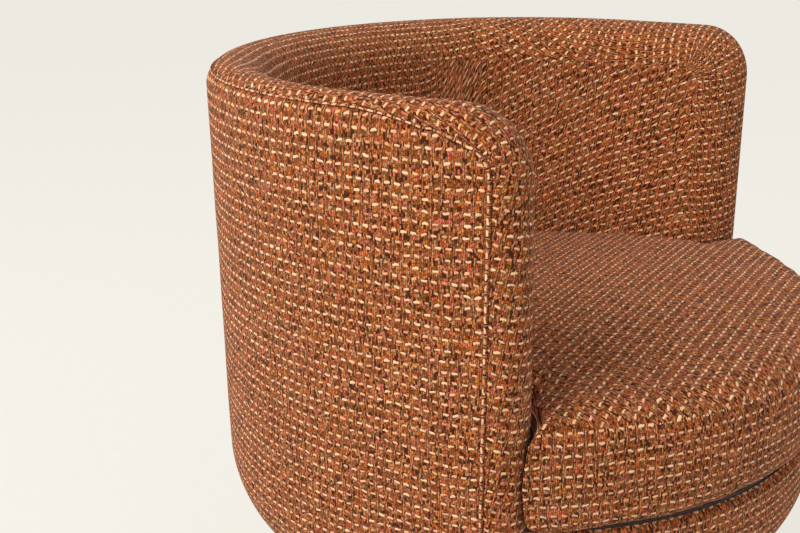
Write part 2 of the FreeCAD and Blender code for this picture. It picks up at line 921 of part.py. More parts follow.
def cushion_pieces():
    """Cushion cover, foam core and underside panel."""
    outer = cushion_body(0)
    inner = cushion_body(cushion_cover_thickness)
    core_gap = cushion_body(cushion_cover_thickness + layer_gap)
    panel_top = cushion_bottom + cushion_base_thickness
    high = crown_height
    cover = cushion_slice(outer, panel_top, high)
    cover = cover.cut(cushion_slice(inner, panel_top - 1, high))
    panel = cushion_slice(outer, cushion_bottom, panel_top)
    core = cushion_slice(core_gap, panel_top + layer_gap, high)
    return cover, core, panel


def floor_glides():
    """Round glides under the base ring."""
    glides = []
    for index in range(glide_count):
        x, y = circle_point(ring_radius, 360 * (index + 0.5) / glide_count)
        glide = Part.makeCone(glide_radius - 2, glide_radius, 2, Vector(x, y, 0))
        glide = glide.fuse(post(glide_radius, 2, glide_height - 1, x, y))
        stem = post(glide_radius / 2, glide_height - 1, ring_z, x, y)
        glide = glide.fuse(stem).cut(ring_torus(layer_gap)).removeSplitter()
        glides.append(glide.Solids[0])
    return Part.makeCompound(glides)


def ring_torus(grow=0.0):
    """Ring of round tube, as a solid torus."""
    return Part.makeTorus(ring_radius, ring_tube_radius + grow, Vector(0, 0, ring_z))


def base_ring():
    """Base ring of bent steel tube."""
    return ring_torus()


def base_cross():
    """Two crossed pressed channels, open below, between the hub and the ring."""
    half = cross_width / 2
    reach = ring_radius
    low = cross_top - cross_height
    arms = []
    hollows = []
    for turned in (False, True):
        arm = block(-reach, reach, -half, half, low, cross_top)
        inner = half - cross_wall
        hollow = block(-reach - 1, reach + 1, -inner, inner, low - 1, cross_top - cross_wall)
        if turned:
            arm.rotate(Vector(0, 0, 0), Vector(0, 0, 1), 90)
            hollow.rotate(Vector(0, 0, 0), Vector(0, 0, 1), 90)
        arms.append(arm)
        hollows.append(hollow)
    cross = arms[0].fuse(arms[1]).cut(hollows[0]).cut(hollows[1])
    cross = cross.common(post(reach, low - 1, cross_top + 1))
    cross = cross.cut(ring_torus(layer_gap))
    cross = cross.common(post(reach - ring_tube_radius * 0.6, low - 1, cross_top + 1))
    cross = cross.cut(post(king_radius + bolt_clearance, low - 1, cross_top + 1))
    for hole in bolt_holes(hub_bolt_circle, low - 1, cross_top + 1):
        cross = cross.cut(hole)
    return cross.removeSplitter()


def bolt_holes(circle, low, high):
    """Four clearance holes on the axes of the cross."""
    radius = bolt_radius + bolt_clearance
    return [
        post(radius, low, high, *circle_point(circle, 90 * index)) for index in range(4)
    ]


def hub_plate():
    """Round plate on the cross that carries the bearing."""
    plate = post(hub_radius, cross_top, hub_top)
    plate = plate.cut(post(king_radius + bolt_clearance, cross_top - 1, hub_top + 1))
    for hole in bolt_holes(hub_bolt_circle, cross_top - 1, hub_top + 1):
        plate = plate.cut(hole)
    return plate


def race(bottom, top, track_side):
    """Bearing race with a round ball track in one face."""
    ring = post(race_outer_radius, bottom, top)
    ring = ring.cut(post(king_radius + running_clearance, bottom - 1, top + 1))
    track = Part.makeTorus(ball_circle_radius, ball_radius + track_clearance, Vector(0, 0, ball_z))
    return ring.cut(track)


def lower_race():
    """Fixed race, bolted to the hub through countersunk holes."""
    ring = race(hub_top, lower_race_top, 1)
    for hole in bolt_holes(hub_bolt_circle, hub_top - 1, lower_race_top + 1):
        ring = ring.cut(hole)
    for index in range(4):
        x, y = circle_point(hub_bolt_circle, 90 * index)
        radius = bolt_head_radius + bolt_clearance
        ring = ring.cut(post(radius, lower_race_top - bolt_head_height + 1, lower_race_top + 1, x, y))
    return ring


def upper_race():
    """Turning race, bolted to the rocker tray."""
    ring = race(upper_race_bottom, upper_race_top, -1)
    for hole in tray_holes(upper_race_bottom - 1, upper_race_top + 1):
        ring = ring.cut(hole)
    for index in range(4):
        x, y = circle_point(tray_bolt_circle, 90 * index + 45)
        radius = bolt_head_radius + bolt_clearance
        low = upper_race_bottom - 1
        ring = ring.cut(post(radius, low, upper_race_bottom + bolt_head_height - 1, x, y))
    return ring


def tray_holes(low, high):
    """Four clearance holes between the arms of the cross."""
    radius = bolt_radius + bolt_clearance
    return [
        post(radius, low, high, *circle_point(tray_bolt_circle, 90 * index + 45))
        for index in range(4)
    ]


def bearing_balls():
    """Balls in the track."""
    balls = []
    for index in range(ball_count):
        x, y = circle_point(ball_circle_radius, 360 * index / ball_count)
        balls.append(Part.makeSphere(ball_radius, Vector(x, y, ball_z)))
    return Part.makeCompound(balls)


def bearing_cage():
    """Flat ring that keeps the balls apart."""
    half = cage_thickness / 2
    width = ball_radius + 3.5
    cage = post(ball_circle_radius + width, ball_z - half, ball_z + half)
    cage = cage.cut(post(ball_circle_radius - width, ball_z - 2, ball_z + 2))
    for index in range(ball_count):
        x, y = circle_point(ball_circle_radius, 360 * index / ball_count)
        cage = cage.cut(post(ball_radius + cage_clearance, ball_z - 2, ball_z + 2, x, y))
    return cage


def king_rivet():
    """Hollow rivet on the swivel axis that holds the two races together."""
    foot = cross_top - cross_wall - king_head_thickness
    head_bottom = upper_race_top + layer_gap
    head_top = head_bottom + king_head_thickness
    rivet = post(king_radius, foot, head_top)
    rivet = rivet.fuse(post(king_head_radius, head_bottom, head_top))
    rivet = rivet.fuse(post(cross_width / 2 - cross_wall - 1, foot, foot + king_head_thickness))
    return rivet.cut(post(king_radius - 4, foot - 1, head_top + 1)).removeSplitter()


def bolt(x, y, head_bottom, shank_bottom):
    """Hexagon bolt, head up, with its nut at the foot of the shank."""
    head = hexagon(x, y, head_bottom, head_bottom + bolt_head_height)
    shank = post(bolt_radius, shank_bottom, head_bottom, x, y)
    return head.fuse(shank)


def hexagon(x, y, bottom, top):
    """Upright hexagonal prism."""
    points = [circle_point(bolt_head_radius, 60 * index, x, y) for index in range(7)]
    wire = Part.makePolygon([Vector(px, py, bottom) for px, py in points])
    return Part.Face(wire).extrude(Vector(0, 0, top - bottom))


def hub_bolts():
    """Flush bolts through the lower race, hub plate and cross, with nuts below."""
    bolts = []
    head_bottom = lower_race_top - bolt_head_height + 1
    for index in range(4):
        x, y = circle_point(hub_bolt_circle, 90 * index)
        web = cross_top - cross_wall
        foot = web - bolt_head_height
        item = post(bolt_head_radius, head_bottom, lower_race_top, x, y)
        item = item.fuse(post(bolt_radius, foot, head_bottom, x, y))
        item = item.fuse(hexagon(x, y, foot, web))
        bolts.append(item.removeSplitter())
    return Part.makeCompound(bolts)


def tray_bolts():
    """Bolts up through the upper race and the tray, with nuts on the tray."""
    bolts = []
    head_top = upper_race_bottom + bolt_head_height - 1
    for index in range(4):
        x, y = circle_point(tray_bolt_circle, 90 * index + 45)
        item = post(bolt_head_radius, upper_race_bottom, head_top, x, y)
        item = item.fuse(post(bolt_radius, head_top, tray_top + bolt_head_height, x, y))
        item = item.fuse(hexagon(x, y, tray_top, tray_top + bolt_head_height))
        bolts.append(item.removeSplitter())
    return Part.makeCompound(bolts)


def rounded_plate(half_x, half_y, bottom, top):
    """Plate with rounded corners."""
    plate = block(-half_x, half_x, -half_y, half_y, bottom, top)
    edges = [edge for edge in plate.Edges if is_upright(edge)]
    return plate.makeFillet(plate_corner_radius, edges)


def is_upright(edge):
    """Whether a straight edge runs along Z."""
    a, b = edge.Vertexes[0].Point, edge.Vertexes[-1].Point
    return abs(a.x - b.x) < 0.01 and abs(a.y - b.y) < 0.01 and abs(a.z - b.z) > 0.01


def ear(x0, x1, root_z, bore):
    """Ear in the YZ plane, tapering from its root to a round end about the shaft, with a bore."""
    rise = pivot_z - root_z
    reach = abs(rise)
    turn = math.atan2(reach, ear_foot_half_length) + math.acos(
        min(0.99, ear_radius / math.hypot(reach, ear_foot_half_length))
    )
    touch_y = ear_radius * math.cos(math.pi - turn)
    touch_z = ear_radius * math.sin(math.pi - turn)
    sign = 1 if rise > 0 else -1
    face = outline_face(
        (-ear_foot_half_length, root_z),
        [
            (-touch_y, pivot_z + sign * touch_z) if touch_y < 0 else (-ear_radius, pivot_z),
            (0, pivot_z + sign * ear_radius)
            + ((touch_y, pivot_z + sign * touch_z) if touch_y < 0 else (ear_radius, pivot_z)),
            (ear_foot_half_length, root_z),
            (-ear_foot_half_length, root_z),
        ],
    )
    face.rotate(Vector(0, 0, 0), Vector(0, 0, 1), 90)
    solid = face.extrude(Vector(x1 - x0, 0, 0))
    solid.translate(Vector(x0, 0, 0))
    hole = Part.makeCylinder(bore, x1 - x0 + 2, Vector(x0 - 1, 0, pivot_z), Vector(1, 0, 0))
    return solid.cut(hole)


def coil_places():
    """Centres of the four coil springs."""
    return [(x, y) for x in (-coil_x, coil_x) for y in (-coil_y, coil_y)]


def seat_boss(x, y, bottom, top):
    """Pressed boss that centres the end of a coil spring."""
    radius = coil_mean_radius - coil_wire / 2 - 1
    return post(radius, bottom, top, x, y)


def rocker_tray():
    """Lower pressing: turns on the bearing and carries the shaft and the springs."""
    tray = rounded_plate(tray_half_width, tray_half_length, upper_race_top, tray_top)
    tray = tray.cut(post(king_head_radius + 2, upper_race_top - 1, tray_top + 1))
    for hole in tray_holes(upper_race_top - 1, tray_top + 1):
        tray = tray.cut(hole)
    lip_half = tray_half_width - 2 * plate_corner_radius
    for y in (-tray_half_length, tray_half_length - plate_thickness):
        lip = block(-lip_half, lip_half, y, y + plate_thickness, tray_top, tray_top + tray_lip_height)
        tray = tray.fuse(lip)
    bore = shaft_radius + running_clearance
    tray = tray.fuse(ear(tray_ear_inner_x, tray_half_width, tray_top, bore))
    tray = tray.fuse(ear(-tray_half_width, -tray_ear_inner_x, tray_top, bore))
    for x, y in coil_places():
        tray = tray.fuse(seat_boss(x, y, tray_top, tray_top + seat_boss_height))
    return tray.removeSplitter()


def rocker_yoke():
    """Upper pressing: bolted under the frame, hangs on the shaft by its two ears."""
    yoke = rounded_plate(yoke_half_width, yoke_half_length, yoke_bottom, yoke_top)
    bore = shaft_radius + running_clearance + bush_wall
    inner = yoke_ear_outer_x - plate_thickness
    yoke = yoke.fuse(ear(inner, yoke_ear_outer_x, yoke_bottom, bore))
    yoke = yoke.fuse(ear(-yoke_ear_outer_x, -inner, yoke_bottom, bore))
    for x, y in coil_places():
        yoke = yoke.fuse(seat_boss(x, y, yoke_bottom - seat_boss_height, yoke_bottom))
    for x in (-mounting_rail_x, mounting_rail_x):
        for y in (-yoke_bolt_y, yoke_bolt_y):
            hole = post(bolt_radius + bolt_clearance, yoke_bottom - 1, yoke_top + 1, x, y)
            yoke = yoke.cut(hole)
    return yoke.removeSplitter()


def along_x(radius, x0, x1):
    """Cylinder on the rock axis."""
    return Part.makeCylinder(radius, x1 - x0, Vector(x0, 0, pivot_z), Vector(1, 0, 0))


def pivot_shaft():
    """Steel shaft on the rock axis."""
    reach = tray_half_width + shaft_overhang
    return along_x(shaft_radius, -reach, reach)


def pivot_bushes():
    """Flanged plastic bushes in the ears of the yoke."""
    inner = yoke_ear_outer_x - plate_thickness
    outer = tray_ear_inner_x - layer_gap
    bush = along_x(shaft_radius + running_clearance + bush_wall, inner, outer)
    bush = bush.fuse(along_x(bush_flange_radius, yoke_ear_outer_x, outer))
    bush = bush.cut(along_x(shaft_radius + running_clearance, inner - 1, outer + 1))
    bush = bush.removeSplitter()
    return Part.makeCompound([bush, bush.mirror(Vector(0, 0, 0), Vector(1, 0, 0))])


def shaft_clips():
    """Retaining rings outside the tray's ears."""
    inner = tray_half_width + layer_gap
    ring = along_x(clip_ring_radius, inner, inner + clip_ring_thickness)
    ring = ring.cut(along_x(shaft_radius, inner - 1, inner + clip_ring_thickness + 1))
    return Part.makeCompound([ring, ring.mirror(Vector(0, 0, 0), Vector(1, 0, 0))])


def arc_between(start, end, corner):
    """Arc that leaves start towards corner and reaches end from corner."""
    chord_middle = (start + end) * 0.5
    half_turn_cos = (end - start).Length / 2 / (corner - start).Length
    share = half_turn_cos / (1 + half_turn_cos)
    middle = chord_middle + (corner - chord_middle) * share
    return Part.Arc(start, middle, end).toShape()


def biarc(start, start_way, end, end_way):
    """Two arcs that join smoothly and meet both ends along the given directions."""
    gap = end - start
    ways = start_way + end_way
    a = ways.dot(ways) - 4
    b = -2 * gap.dot(ways)
    c = gap.dot(gap)
    reach = (-b - math.sqrt(b * b - 4 * a * c)) / (2 * a)
    first = start + start_way * reach
    second = end - end_way * reach
    join = (first + second) * 0.5
    return [arc_between(start, join, first), arc_between(join, end, second)]


def coil_height():
    """Rise of the coil's centre line between its two seats."""
    return yoke_bottom - tray_top - 2 * layer_gap - coil_wire


def coil_point(turns):
    """Point and direction of the coil's centre line after a number of turns."""
    angle = 2 * math.pi * turns
    rise = coil_height() / (2 * math.pi * coil_turns)
    radius = coil_mean_radius
    point = Vector(radius * math.cos(angle), radius * math.sin(angle), rise * angle)
    way = Vector(-radius * math.sin(angle), radius * math.cos(angle), rise)
    way.normalize()
    return point, way


def coil_spring():
    """One compression spring on biarcs of half a turn."""
    edges = []
    for half_turn in range(2 * coil_turns):
        start, start_way = coil_point(half_turn / 2)
        end, end_way = coil_point((half_turn + 1) / 2)
        edges.extend(biarc(start, start_way, end, end_way))
    start, way = coil_point(0)
    return tube(edges, start, way, coil_wire / 2)


def coil_springs():
    """Four coil springs between the tray and the yoke."""
    springs = []
    base = tray_top + layer_gap + coil_wire / 2
    spring = coil_spring()
    for x, y in coil_places():
        item = spring.copy()
        item.translate(Vector(x, y, base))
        springs.append(item)
    return Part.makeCompound(springs)


def least_coil_gap():
    """Least gap of the coil to itself, measured on points of its centre line."""
    steps = 64
    points = [coil_point(index / steps)[0] for index in range(steps * coil_turns + 1)]
    least = 1e9
    for index, point in enumerate(points):
        for other in points[index + steps // 2:]:
            least = min(least, (point - other).Length)
    return least - coil_wire


def stop_height(degrees):
    """Height of the yoke's underside above a stop when the chair rocks to its limit."""
    turn = math.radians(degrees)
    away = stop_y + stop_radius
    return pivot_z + (yoke_rise - away * math.sin(turn)) / math.cos(turn)


def rock_stops():
    """Rubber stops on the tray that meet the yoke at the ends of the rock."""
    stops = []
    for x in (-stop_x, stop_x):
        for y, degrees in ((stop_y, rock_back_degrees), (-stop_y, rock_front_degrees)):
            top = stop_height(degrees) - stop_clearance
            stops.append(post(stop_radius, tray_top, top, x, y))
    return Part.makeCompound(stops)


def yoke_bolts():
    """Bolts through the mounting rails and the yoke."""
    bolts = []
    for x in (-mounting_rail_x, mounting_rail_x):
        for y in (-yoke_bolt_y, yoke_bolt_y):
            top = hoop_top + mounting_rail_height
            item = post(bolt_radius, yoke_bottom - bolt_head_height, top, x, y)
            item = item.fuse(hexagon(x, y, yoke_bottom - bolt_head_height, yoke_bottom))
            item = item.fuse(hexagon(x, y, top, top + bolt_head_height))
            bolts.append(item.removeSplitter())
    return Part.makeCompound(bolts)


def build_all():
    """Every node by name."""
    cover, core, panel = cushion_pieces()
    return {
        "outside_cover": outside_cover(),
        "inside_cover": inside_cover(),
        "arm_front_left": arm_front(1),
        "arm_front_right": arm_front(-1),
        "top_welt": top_welt(),
        "arm_welt_left": arm_welt(1),
        "arm_welt_right": arm_welt(-1),
        "front_rail_cover": front_rail_cover(),
        "cushion_cover": cover,
        "cushion_core": core,
        "cushion_base_panel": panel,
        "outer_board": outer_board(),
        "inner_board": inner_board(),
        "inside_pad": inside_pad(),
        "crown_roll": crown_roll(),
        "front_board": front_board(),
        "frame_ribs": frame_ribs(),
        "arm_posts": arm_posts(),
        "top_rail": top_rail(),
        "seat_rail": seat_rail(),
        "front_rail": front_rail(),
        "bottom_hoop": bottom_hoop(),
        "mounting_rails": mounting_rails(),
        "dust_cover": dust_cover(),
        "sinuous_springs": sinuous_springs(),
        "spring_clips": spring_clips(),
        "deck_felt": deck_felt(),
        "deck_cloth": deck_cloth(),
        "floor_glides": floor_glides(),
        "base_ring": base_ring(),
        "base_cross": base_cross(),
        "hub_plate": hub_plate(),
        "hub_bolts": hub_bolts(),
        "lower_race": lower_race(),
        "upper_race": upper_race(),
        "bearing_balls": bearing_balls(),
        "bearing_cage": bearing_cage(),
        "king_rivet": king_rivet(),
        "tray_bolts": tray_bolts(),
        "rocker_tray": rocker_tray(),
        "rocker_yoke": rocker_yoke(),
        "pivot_shaft": pivot_shaft(),
        "pivot_bushes": pivot_bushes(),
        "shaft_clips": shaft_clips(),
        "coil_springs": coil_springs(),
        "rock_stops": rock_stops(),
        "yoke_bolts": yoke_bolts(),
    }


def main():
    os.makedirs("parts", exist_ok=True)
    for name, shape in build_all().items():
        shape.exportStep(os.path.join("parts", name + ".step"))
        box = shape.BoundBox
        print(name, len(shape.Solids), shape.isValid(), round(shape.Volume), round(box.ZMin, 2), round(box.ZMax, 2))
    print("least gap of a coil to itself:", round(least_coil_gap(), 2))


main()
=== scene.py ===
import math

import bmesh
import bpy
from mathutils import Matrix, Vector, noise


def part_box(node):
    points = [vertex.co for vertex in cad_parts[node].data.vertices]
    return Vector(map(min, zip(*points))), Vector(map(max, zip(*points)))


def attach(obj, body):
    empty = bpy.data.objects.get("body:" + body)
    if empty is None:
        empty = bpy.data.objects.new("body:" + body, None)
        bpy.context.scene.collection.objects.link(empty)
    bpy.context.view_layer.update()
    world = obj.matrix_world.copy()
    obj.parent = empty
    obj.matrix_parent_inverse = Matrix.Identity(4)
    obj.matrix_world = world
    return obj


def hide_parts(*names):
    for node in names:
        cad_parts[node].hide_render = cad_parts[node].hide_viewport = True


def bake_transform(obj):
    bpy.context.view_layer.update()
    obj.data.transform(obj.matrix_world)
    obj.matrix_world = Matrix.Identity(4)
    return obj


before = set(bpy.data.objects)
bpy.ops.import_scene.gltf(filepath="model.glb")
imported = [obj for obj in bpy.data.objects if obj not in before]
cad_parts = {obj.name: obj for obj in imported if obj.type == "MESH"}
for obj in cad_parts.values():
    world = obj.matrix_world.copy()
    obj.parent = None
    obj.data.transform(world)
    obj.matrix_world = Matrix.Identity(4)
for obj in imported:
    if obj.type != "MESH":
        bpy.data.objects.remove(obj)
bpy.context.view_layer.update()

# Plan of the tub, in metres: back arc, corner arcs and the long arcs of the arms.
half_width = 0.390
widest_y = 0.030
corner_x = 0.060
corner_radius = 0.330
back_y = -0.050
back_radius = 0.430
side_radius = 1.135
back_half_sweep = math.radians(36.87)
side_sweep = math.radians(8.5)
wall_thickness = 0.082

# Heights of the tub.
crown_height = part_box("inside_cover")[1][2]
foot_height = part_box("dust_cover")[0][2]
deck_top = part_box("deck_cloth")[1][2]
tuck_height = 0.255
tuck_radius = 0.120
tuck_turn = math.radians(45)
front_tuck_share = 0.55

# Rolled edges of the crown and of the arm fronts.
crown_outer_radius = 0.025
crown_inner_radius = 0.057
front_outer_radius = 0.030
front_inner_radius = 0.051
arm_corner_radius = 0.070
seam_setback = 0.030
front_lean = 0.026
lean_end_height = 0.430
cover_thickness = 0.004

# Outside seam: how far it hangs below the crown, and its turn into the arm's front seam.
seam_drop_back = 0.0075
seam_drop_front = 0.0215
seam_fall_length = 0.150
seam_flat_length = 0.120
seam_turn_radius = 0.030
seam_turn_start = 0.0197
seam_turn_height = 0.669
welt_radius = 0.0024
top_welt_radius = 0.0012
seam_pinch = 0.0018
seam_pinch_width = 0.006

# Front rail and cushion.
front_radius = 0.395
cushion_front_radius = 0.410
cushion_clearance = 0.0012
cushion_gap = 0.0116
cushion_sink = 0.027
cushion_voxel = 0.0055
swell_frames = 20
swell_pressure = 1.5
swell_limit = 0.008
ear_stretch = 1.26
ear_least_depth = 0.002
ear_least_thickness = 0.014
ear_press = 0.001

# Coil springs of the rock mechanism.
spring_x, spring_y = 0.066, 0.080
spring_wire = 0.0025
spring_radius = 0.019
spring_turns = 4

# Weave of the tweed.
row_pitch = 0.0110
dash_pitch = 0.0102
front_row_turn = math.radians(100)
row_turn_length = 0.52
inside_row_rise = math.radians(26)
inside_thread_lean = math.radians(12.5)

# Steps of the upholstery's grids.
inner_steps, crest_steps, outer_steps, fall_steps = 10, 8, 8, 5
crown_steps, corner_steps, foot_steps = 88, 14, 28
inside_rows = 46
inside_bottom = deck_top - 0.006
outside_rows = 90
rail_columns, rail_rows = 120, 46
welt_sides = 10

corner_sweep = math.pi / 2 - back_half_sweep
back_length = back_radius * back_half_sweep
corner_length = corner_radius * corner_sweep
side_length = side_radius * side_sweep
seam_station = back_length + corner_length + side_length
face_station = seam_station + seam_setback


def clear_selection():
    """Nothing selected and nothing active."""
    for item in list(bpy.context.selected_objects):
        item.select_set(False)
    bpy.context.view_layer.objects.active = None


def pick(piece):
    """Only this piece selected and active."""
    clear_selection()
    piece.select_set(True)
    bpy.context.view_layer.objects.active = piece


def smooth(share):
    """Soft step from 0 to 1."""
    share = min(1.0, max(0.0, share))
    return share * share * (3 - 2 * share)


def mix(a, b, share):
    """Value between two others."""
    return a + (b - a) * share


def plan(station):
    """Point of the tub's outline and its inward direction, at a run from the middle of the back."""
    way = 1 if station >= 0 else -1
    run = abs(station)
    if run <= back_length:
        turn = run / back_radius
        centre, radius = (0.0, back_y), back_radius
    elif run <= back_length + corner_length:
        turn = back_half_sweep + (run - back_length) / corner_radius
        centre, radius = (corner_x, widest_y), corner_radius
    else:
        turn = math.pi / 2 + (run - back_length - corner_length) / side_radius
        centre, radius = (half_width - side_radius, widest_y), side_radius
    outward = Vector((way * math.sin(turn), math.cos(turn), 0))
    point = Vector((way * centre[0], centre[1], 0)) + outward * radius
    return point, -outward


def at(station, depth, height):
    """Point of the tub's wall."""
    point, inward = plan(station)
    place = point + inward * depth
    place.z = height
    return place


def tuck(height):
    """Depth of the outside where the foot of the shell is turned under."""
    drop = tuck_height - height
    if drop <= 0:
        return 0.0
    arc_drop = tuck_radius * math.sin(tuck_turn)
    if drop < arc_drop:
        return tuck_radius - math.sqrt(tuck_radius**2 - drop**2)
    return tuck_radius * (1 - math.cos(tuck_turn)) + (drop - arc_drop) * math.tan(tuck_turn)


def tuck_run(height):
    """Length of the outside section from the start of the tuck down to a height."""
    drop = tuck_height - height
    arc_drop = tuck_radius * math.sin(tuck_turn)
    if drop <= 0:
        return drop
    if drop < arc_drop:
        return tuck_radius * math.asin(drop / tuck_radius)
    return tuck_radius * tuck_turn + (drop - arc_drop) / math.cos(tuck_turn)


def rolled(radius, drop):
    """Depth of a rolled edge at a drop below its crest."""
    if drop >= radius:
        return 0.0
    return radius - math.sqrt(max(0.0, radius**2 - (radius - drop) ** 2))


def seam_height(behind):
    """Height of the outside seam at a distance behind the arm's front seam."""
    if behind < seam_turn_start:
        reach = seam_turn_radius - max(0.0, behind)
        return seam_turn_height + math.sqrt(max(0.0, seam_turn_radius**2 - reach**2))
    fall = max(0.0, seam_fall_length - behind) / seam_flat_length
    return crown_height - seam_drop_back - seam_drop_front * fall**2


def lean(height):
    """How far the arm's front has moved forward of its top at a height."""
    top = crown_height - arm_corner_radius
    return front_lean * (top - min(top, max(height, lean_end_height)))


def recede(height):
    """How far an arm's front goes back as the foot of the shell is turned under."""
    return front_tuck_share * tuck(height)


class Station:
    """Place along the band of cloth over the crown, round a front corner and down the front."""

    def __init__(self, kind, value):
        corner_height = crown_height - arm_corner_radius
        self.kind = kind
        if kind == "crown":
            self.turn = 0.0
            self.behind = face_station - value
            self.height = crown_height
            self.run = self.behind - arm_corner_radius
        elif kind == "corner":
            self.turn = value
            self.behind = arm_corner_radius
            self.height = corner_height
            self.run = -arm_corner_radius * value
        else:
            self.turn = math.pi / 2
            self.behind = arm_corner_radius - lean(value) + recede(value)
            self.height = value
            self.run = value - corner_height - arm_corner_radius * math.pi / 2
        share = smooth(self.turn / (math.pi / 2))
        self.outer_radius = mix(crown_outer_radius, front_outer_radius, share)
        self.inner_radius = mix(crown_inner_radius, front_inner_radius, share)
        self.near = tuck(self.height) if kind == "front" else 0.0
        self.far = wall_thickness
        if kind == "front" and value < deck_top:
            self.far += (deck_top - value) / (deck_top - foot_height) * wall_thickness
        self.seam = self.find_seam()

    def find_seam(self):
        """Depth below the band's crest at which its outer edge meets the outside seam."""
        if self.kind == "crown":
            return crown_height - seam_height(self.behind - seam_setback)
        if self.kind == "front":
            return seam_setback + lean(self.height)
        low, high = 0.0, arm_corner_radius
        for step in range(30):
            middle = (low + high) / 2
            radius = arm_corner_radius - middle
            behind = arm_corner_radius - radius * math.sin(self.turn) - seam_setback
            height = crown_height - arm_corner_radius + radius * math.cos(self.turn)
            outside = behind < 0 or height > seam_height(behind)
            if outside:
                low = middle
            else:
                high = middle
        return middle

    def place(self, way, depth, below):
        """Point of the band at a depth across the wall and a drop below the band's crest."""
        reach = arm_corner_radius if self.kind != "crown" else 0.0
        radius = reach - below
        behind = self.behind - radius * math.sin(self.turn)
        height = self.height + radius * math.cos(self.turn)
        return at(way * (face_station - behind), self.near + depth, height)


def band_section(station):
    """Depths and drops across the band from its inner edge to the outside seam, with lengths."""
    width = station.far - station.near
    inner, outer = station.inner_radius, station.outer_radius
    points = []
    for step in range(inner_steps + 1):
        turn = math.pi / 2 * step / inner_steps
        points.append((width - inner * (1 - math.cos(turn)), inner * (1 - math.sin(turn))))
    flat = width - inner - outer
    for step in range(1, crest_steps):
        points.append((width - inner - flat * step / crest_steps, 0.0))
    full = math.pi / 2
    if station.seam < outer:
        full = math.acos(max(-1.0, 1 - station.seam / outer))
    for step in range(outer_steps + 1):
        turn = full * step / outer_steps
        points.append((outer * (1 - math.sin(turn)), outer * (1 - math.cos(turn))))
    start = points[-1][1]
    for step in range(1, fall_steps + 1):
        points.append((points[-1][0], mix(start, station.seam, step / fall_steps)))
    result = []
    length = 0.0
    last = None
    for depth, below in points:
        if last is not None:
            length += math.hypot(depth - last[0], below - last[1])
        last = (depth, below)
        result.append([depth, below, length])
    total = result[-1][2]
    for item in result:
        near_seam = total - item[2]
        pinch = seam_pinch * (1 - smooth(near_seam / seam_pinch_width))
        if station.seam > outer * 0.8:
            item[0] += pinch
        else:
            item[1] += pinch
        item.append(near_seam)
    return result


def band_turn(run):
    """Angle between the rows of the weave and the band's length, behind the front corner."""
    return mix(front_row_turn, 0.0, smooth(run / row_turn_length))


def half_stations():
    """Stations from the middle of the back to the foot of an arm's front."""
    stations = []
    crown_end = face_station - arm_corner_radius
    for step in range(crown_steps + 1):
        stations.append(Station("crown", crown_end * step / crown_steps))
    for step in range(1, corner_steps + 1):
        stations.append(Station("corner", math.pi / 2 * step / corner_steps))
    top = crown_height - arm_corner_radius
    for step in range(1, inside_rows + 1):
        stations.append(Station("front", mix(top, inside_bottom, step / inside_rows)))
    for step in range(1, foot_steps + 1):
        stations.append(Station("front", mix(inside_bottom, foot_height, step / foot_steps)))
    return stations


def add_columns(build, weave, columns):
    """Grid of faces through columns of points with their places in the weave."""
    grid = [[build.verts.new(point) for point, place in column] for column in columns]
    for i in range(len(columns) - 1):
        for j in range(len(columns[i]) - 1):
            ids = ((i, j), (i + 1, j), (i + 1, j + 1), (i, j + 1))
            face = build.faces.new([grid[a][b] for a, b in ids])
            face.smooth = True
            for loop, (a, b) in zip(face.loops, ids):
                loop[weave].uv = columns[a][b][1]


def cloth_piece(name, grids, outward, thickness=cover_thickness):
    """Piece of upholstery from grids of columns, with a thickness turned inwards."""
    mesh = bpy.data.meshes.new(name)
    build = bmesh.new()
    weave = build.loops.layers.uv.new("weave")
    for columns in grids:
        add_columns(build, weave, columns)
    bmesh.ops.remove_doubles(build, verts=build.verts, dist=0.00012)
    bmesh.ops.dissolve_degenerate(build, edges=build.edges, dist=0.00005)
    bmesh.ops.recalc_face_normals(build, faces=build.faces)
    build.faces.ensure_lookup_table()
    probe = min(build.faces, key=lambda face: (face.calc_center_median() - outward[0]).length)
    if probe.normal.dot(outward[1]) < 0:
        bmesh.ops.reverse_faces(build, faces=build.faces)
    build.to_mesh(mesh)
    build.free()
    piece = bpy.data.objects.new(name, mesh)
    bpy.context.scene.collection.objects.link(piece)
    if thickness:
        pick(piece)
        wall = piece.modifiers.new("wall", "SOLIDIFY")
        wall.thickness = thickness
        wall.offset = -1
        bpy.ops.object.modifier_apply(modifier=wall.name)
    return piece


def wave(point, size, height):
    """Slight unevenness of stretched cloth."""
    return height * noise.noise(point / size)


def outside_panel():
    """Outside of the tub, from the foot up to the seam, tucked under at its foot."""
    columns = []
    near_seam = 0.032
    half = [(seam_station - near_seam) * step / 112 for step in range(112)]
    half += [seam_station - near_seam * (1 - step / 18) for step in range(19)]
    for station in [-run for run in reversed(half[1:])] + half:
        behind = seam_station - abs(station)
        top = seam_height(behind)
        column = []
        for row in range(outside_rows + 1):
            height = mix(foot_height, top, row / outside_rows)
            depth = tuck(height) + rolled(crown_outer_radius, crown_height - height)
            away = min(behind, top - height)
            depth += seam_pinch * (1 - smooth(away / seam_pinch_width))
            back = math.copysign(recede(height) * smooth(1 - behind / 0.2), station)
            place = at(station - back, depth, height)
            place += plan(station)[1] * wave(place, 0.09, -0.0009)
            row_drop = 0.0035 * smooth(1 - away / 0.05)
            column.append((place, (station, -tuck_run(height) - row_drop)))
        columns.append(column)
    outward = (Vector((0, 0.38, 0.5)), Vector((0, 1, 0)))
    return cloth_piece("outside_panel", [columns], outward)


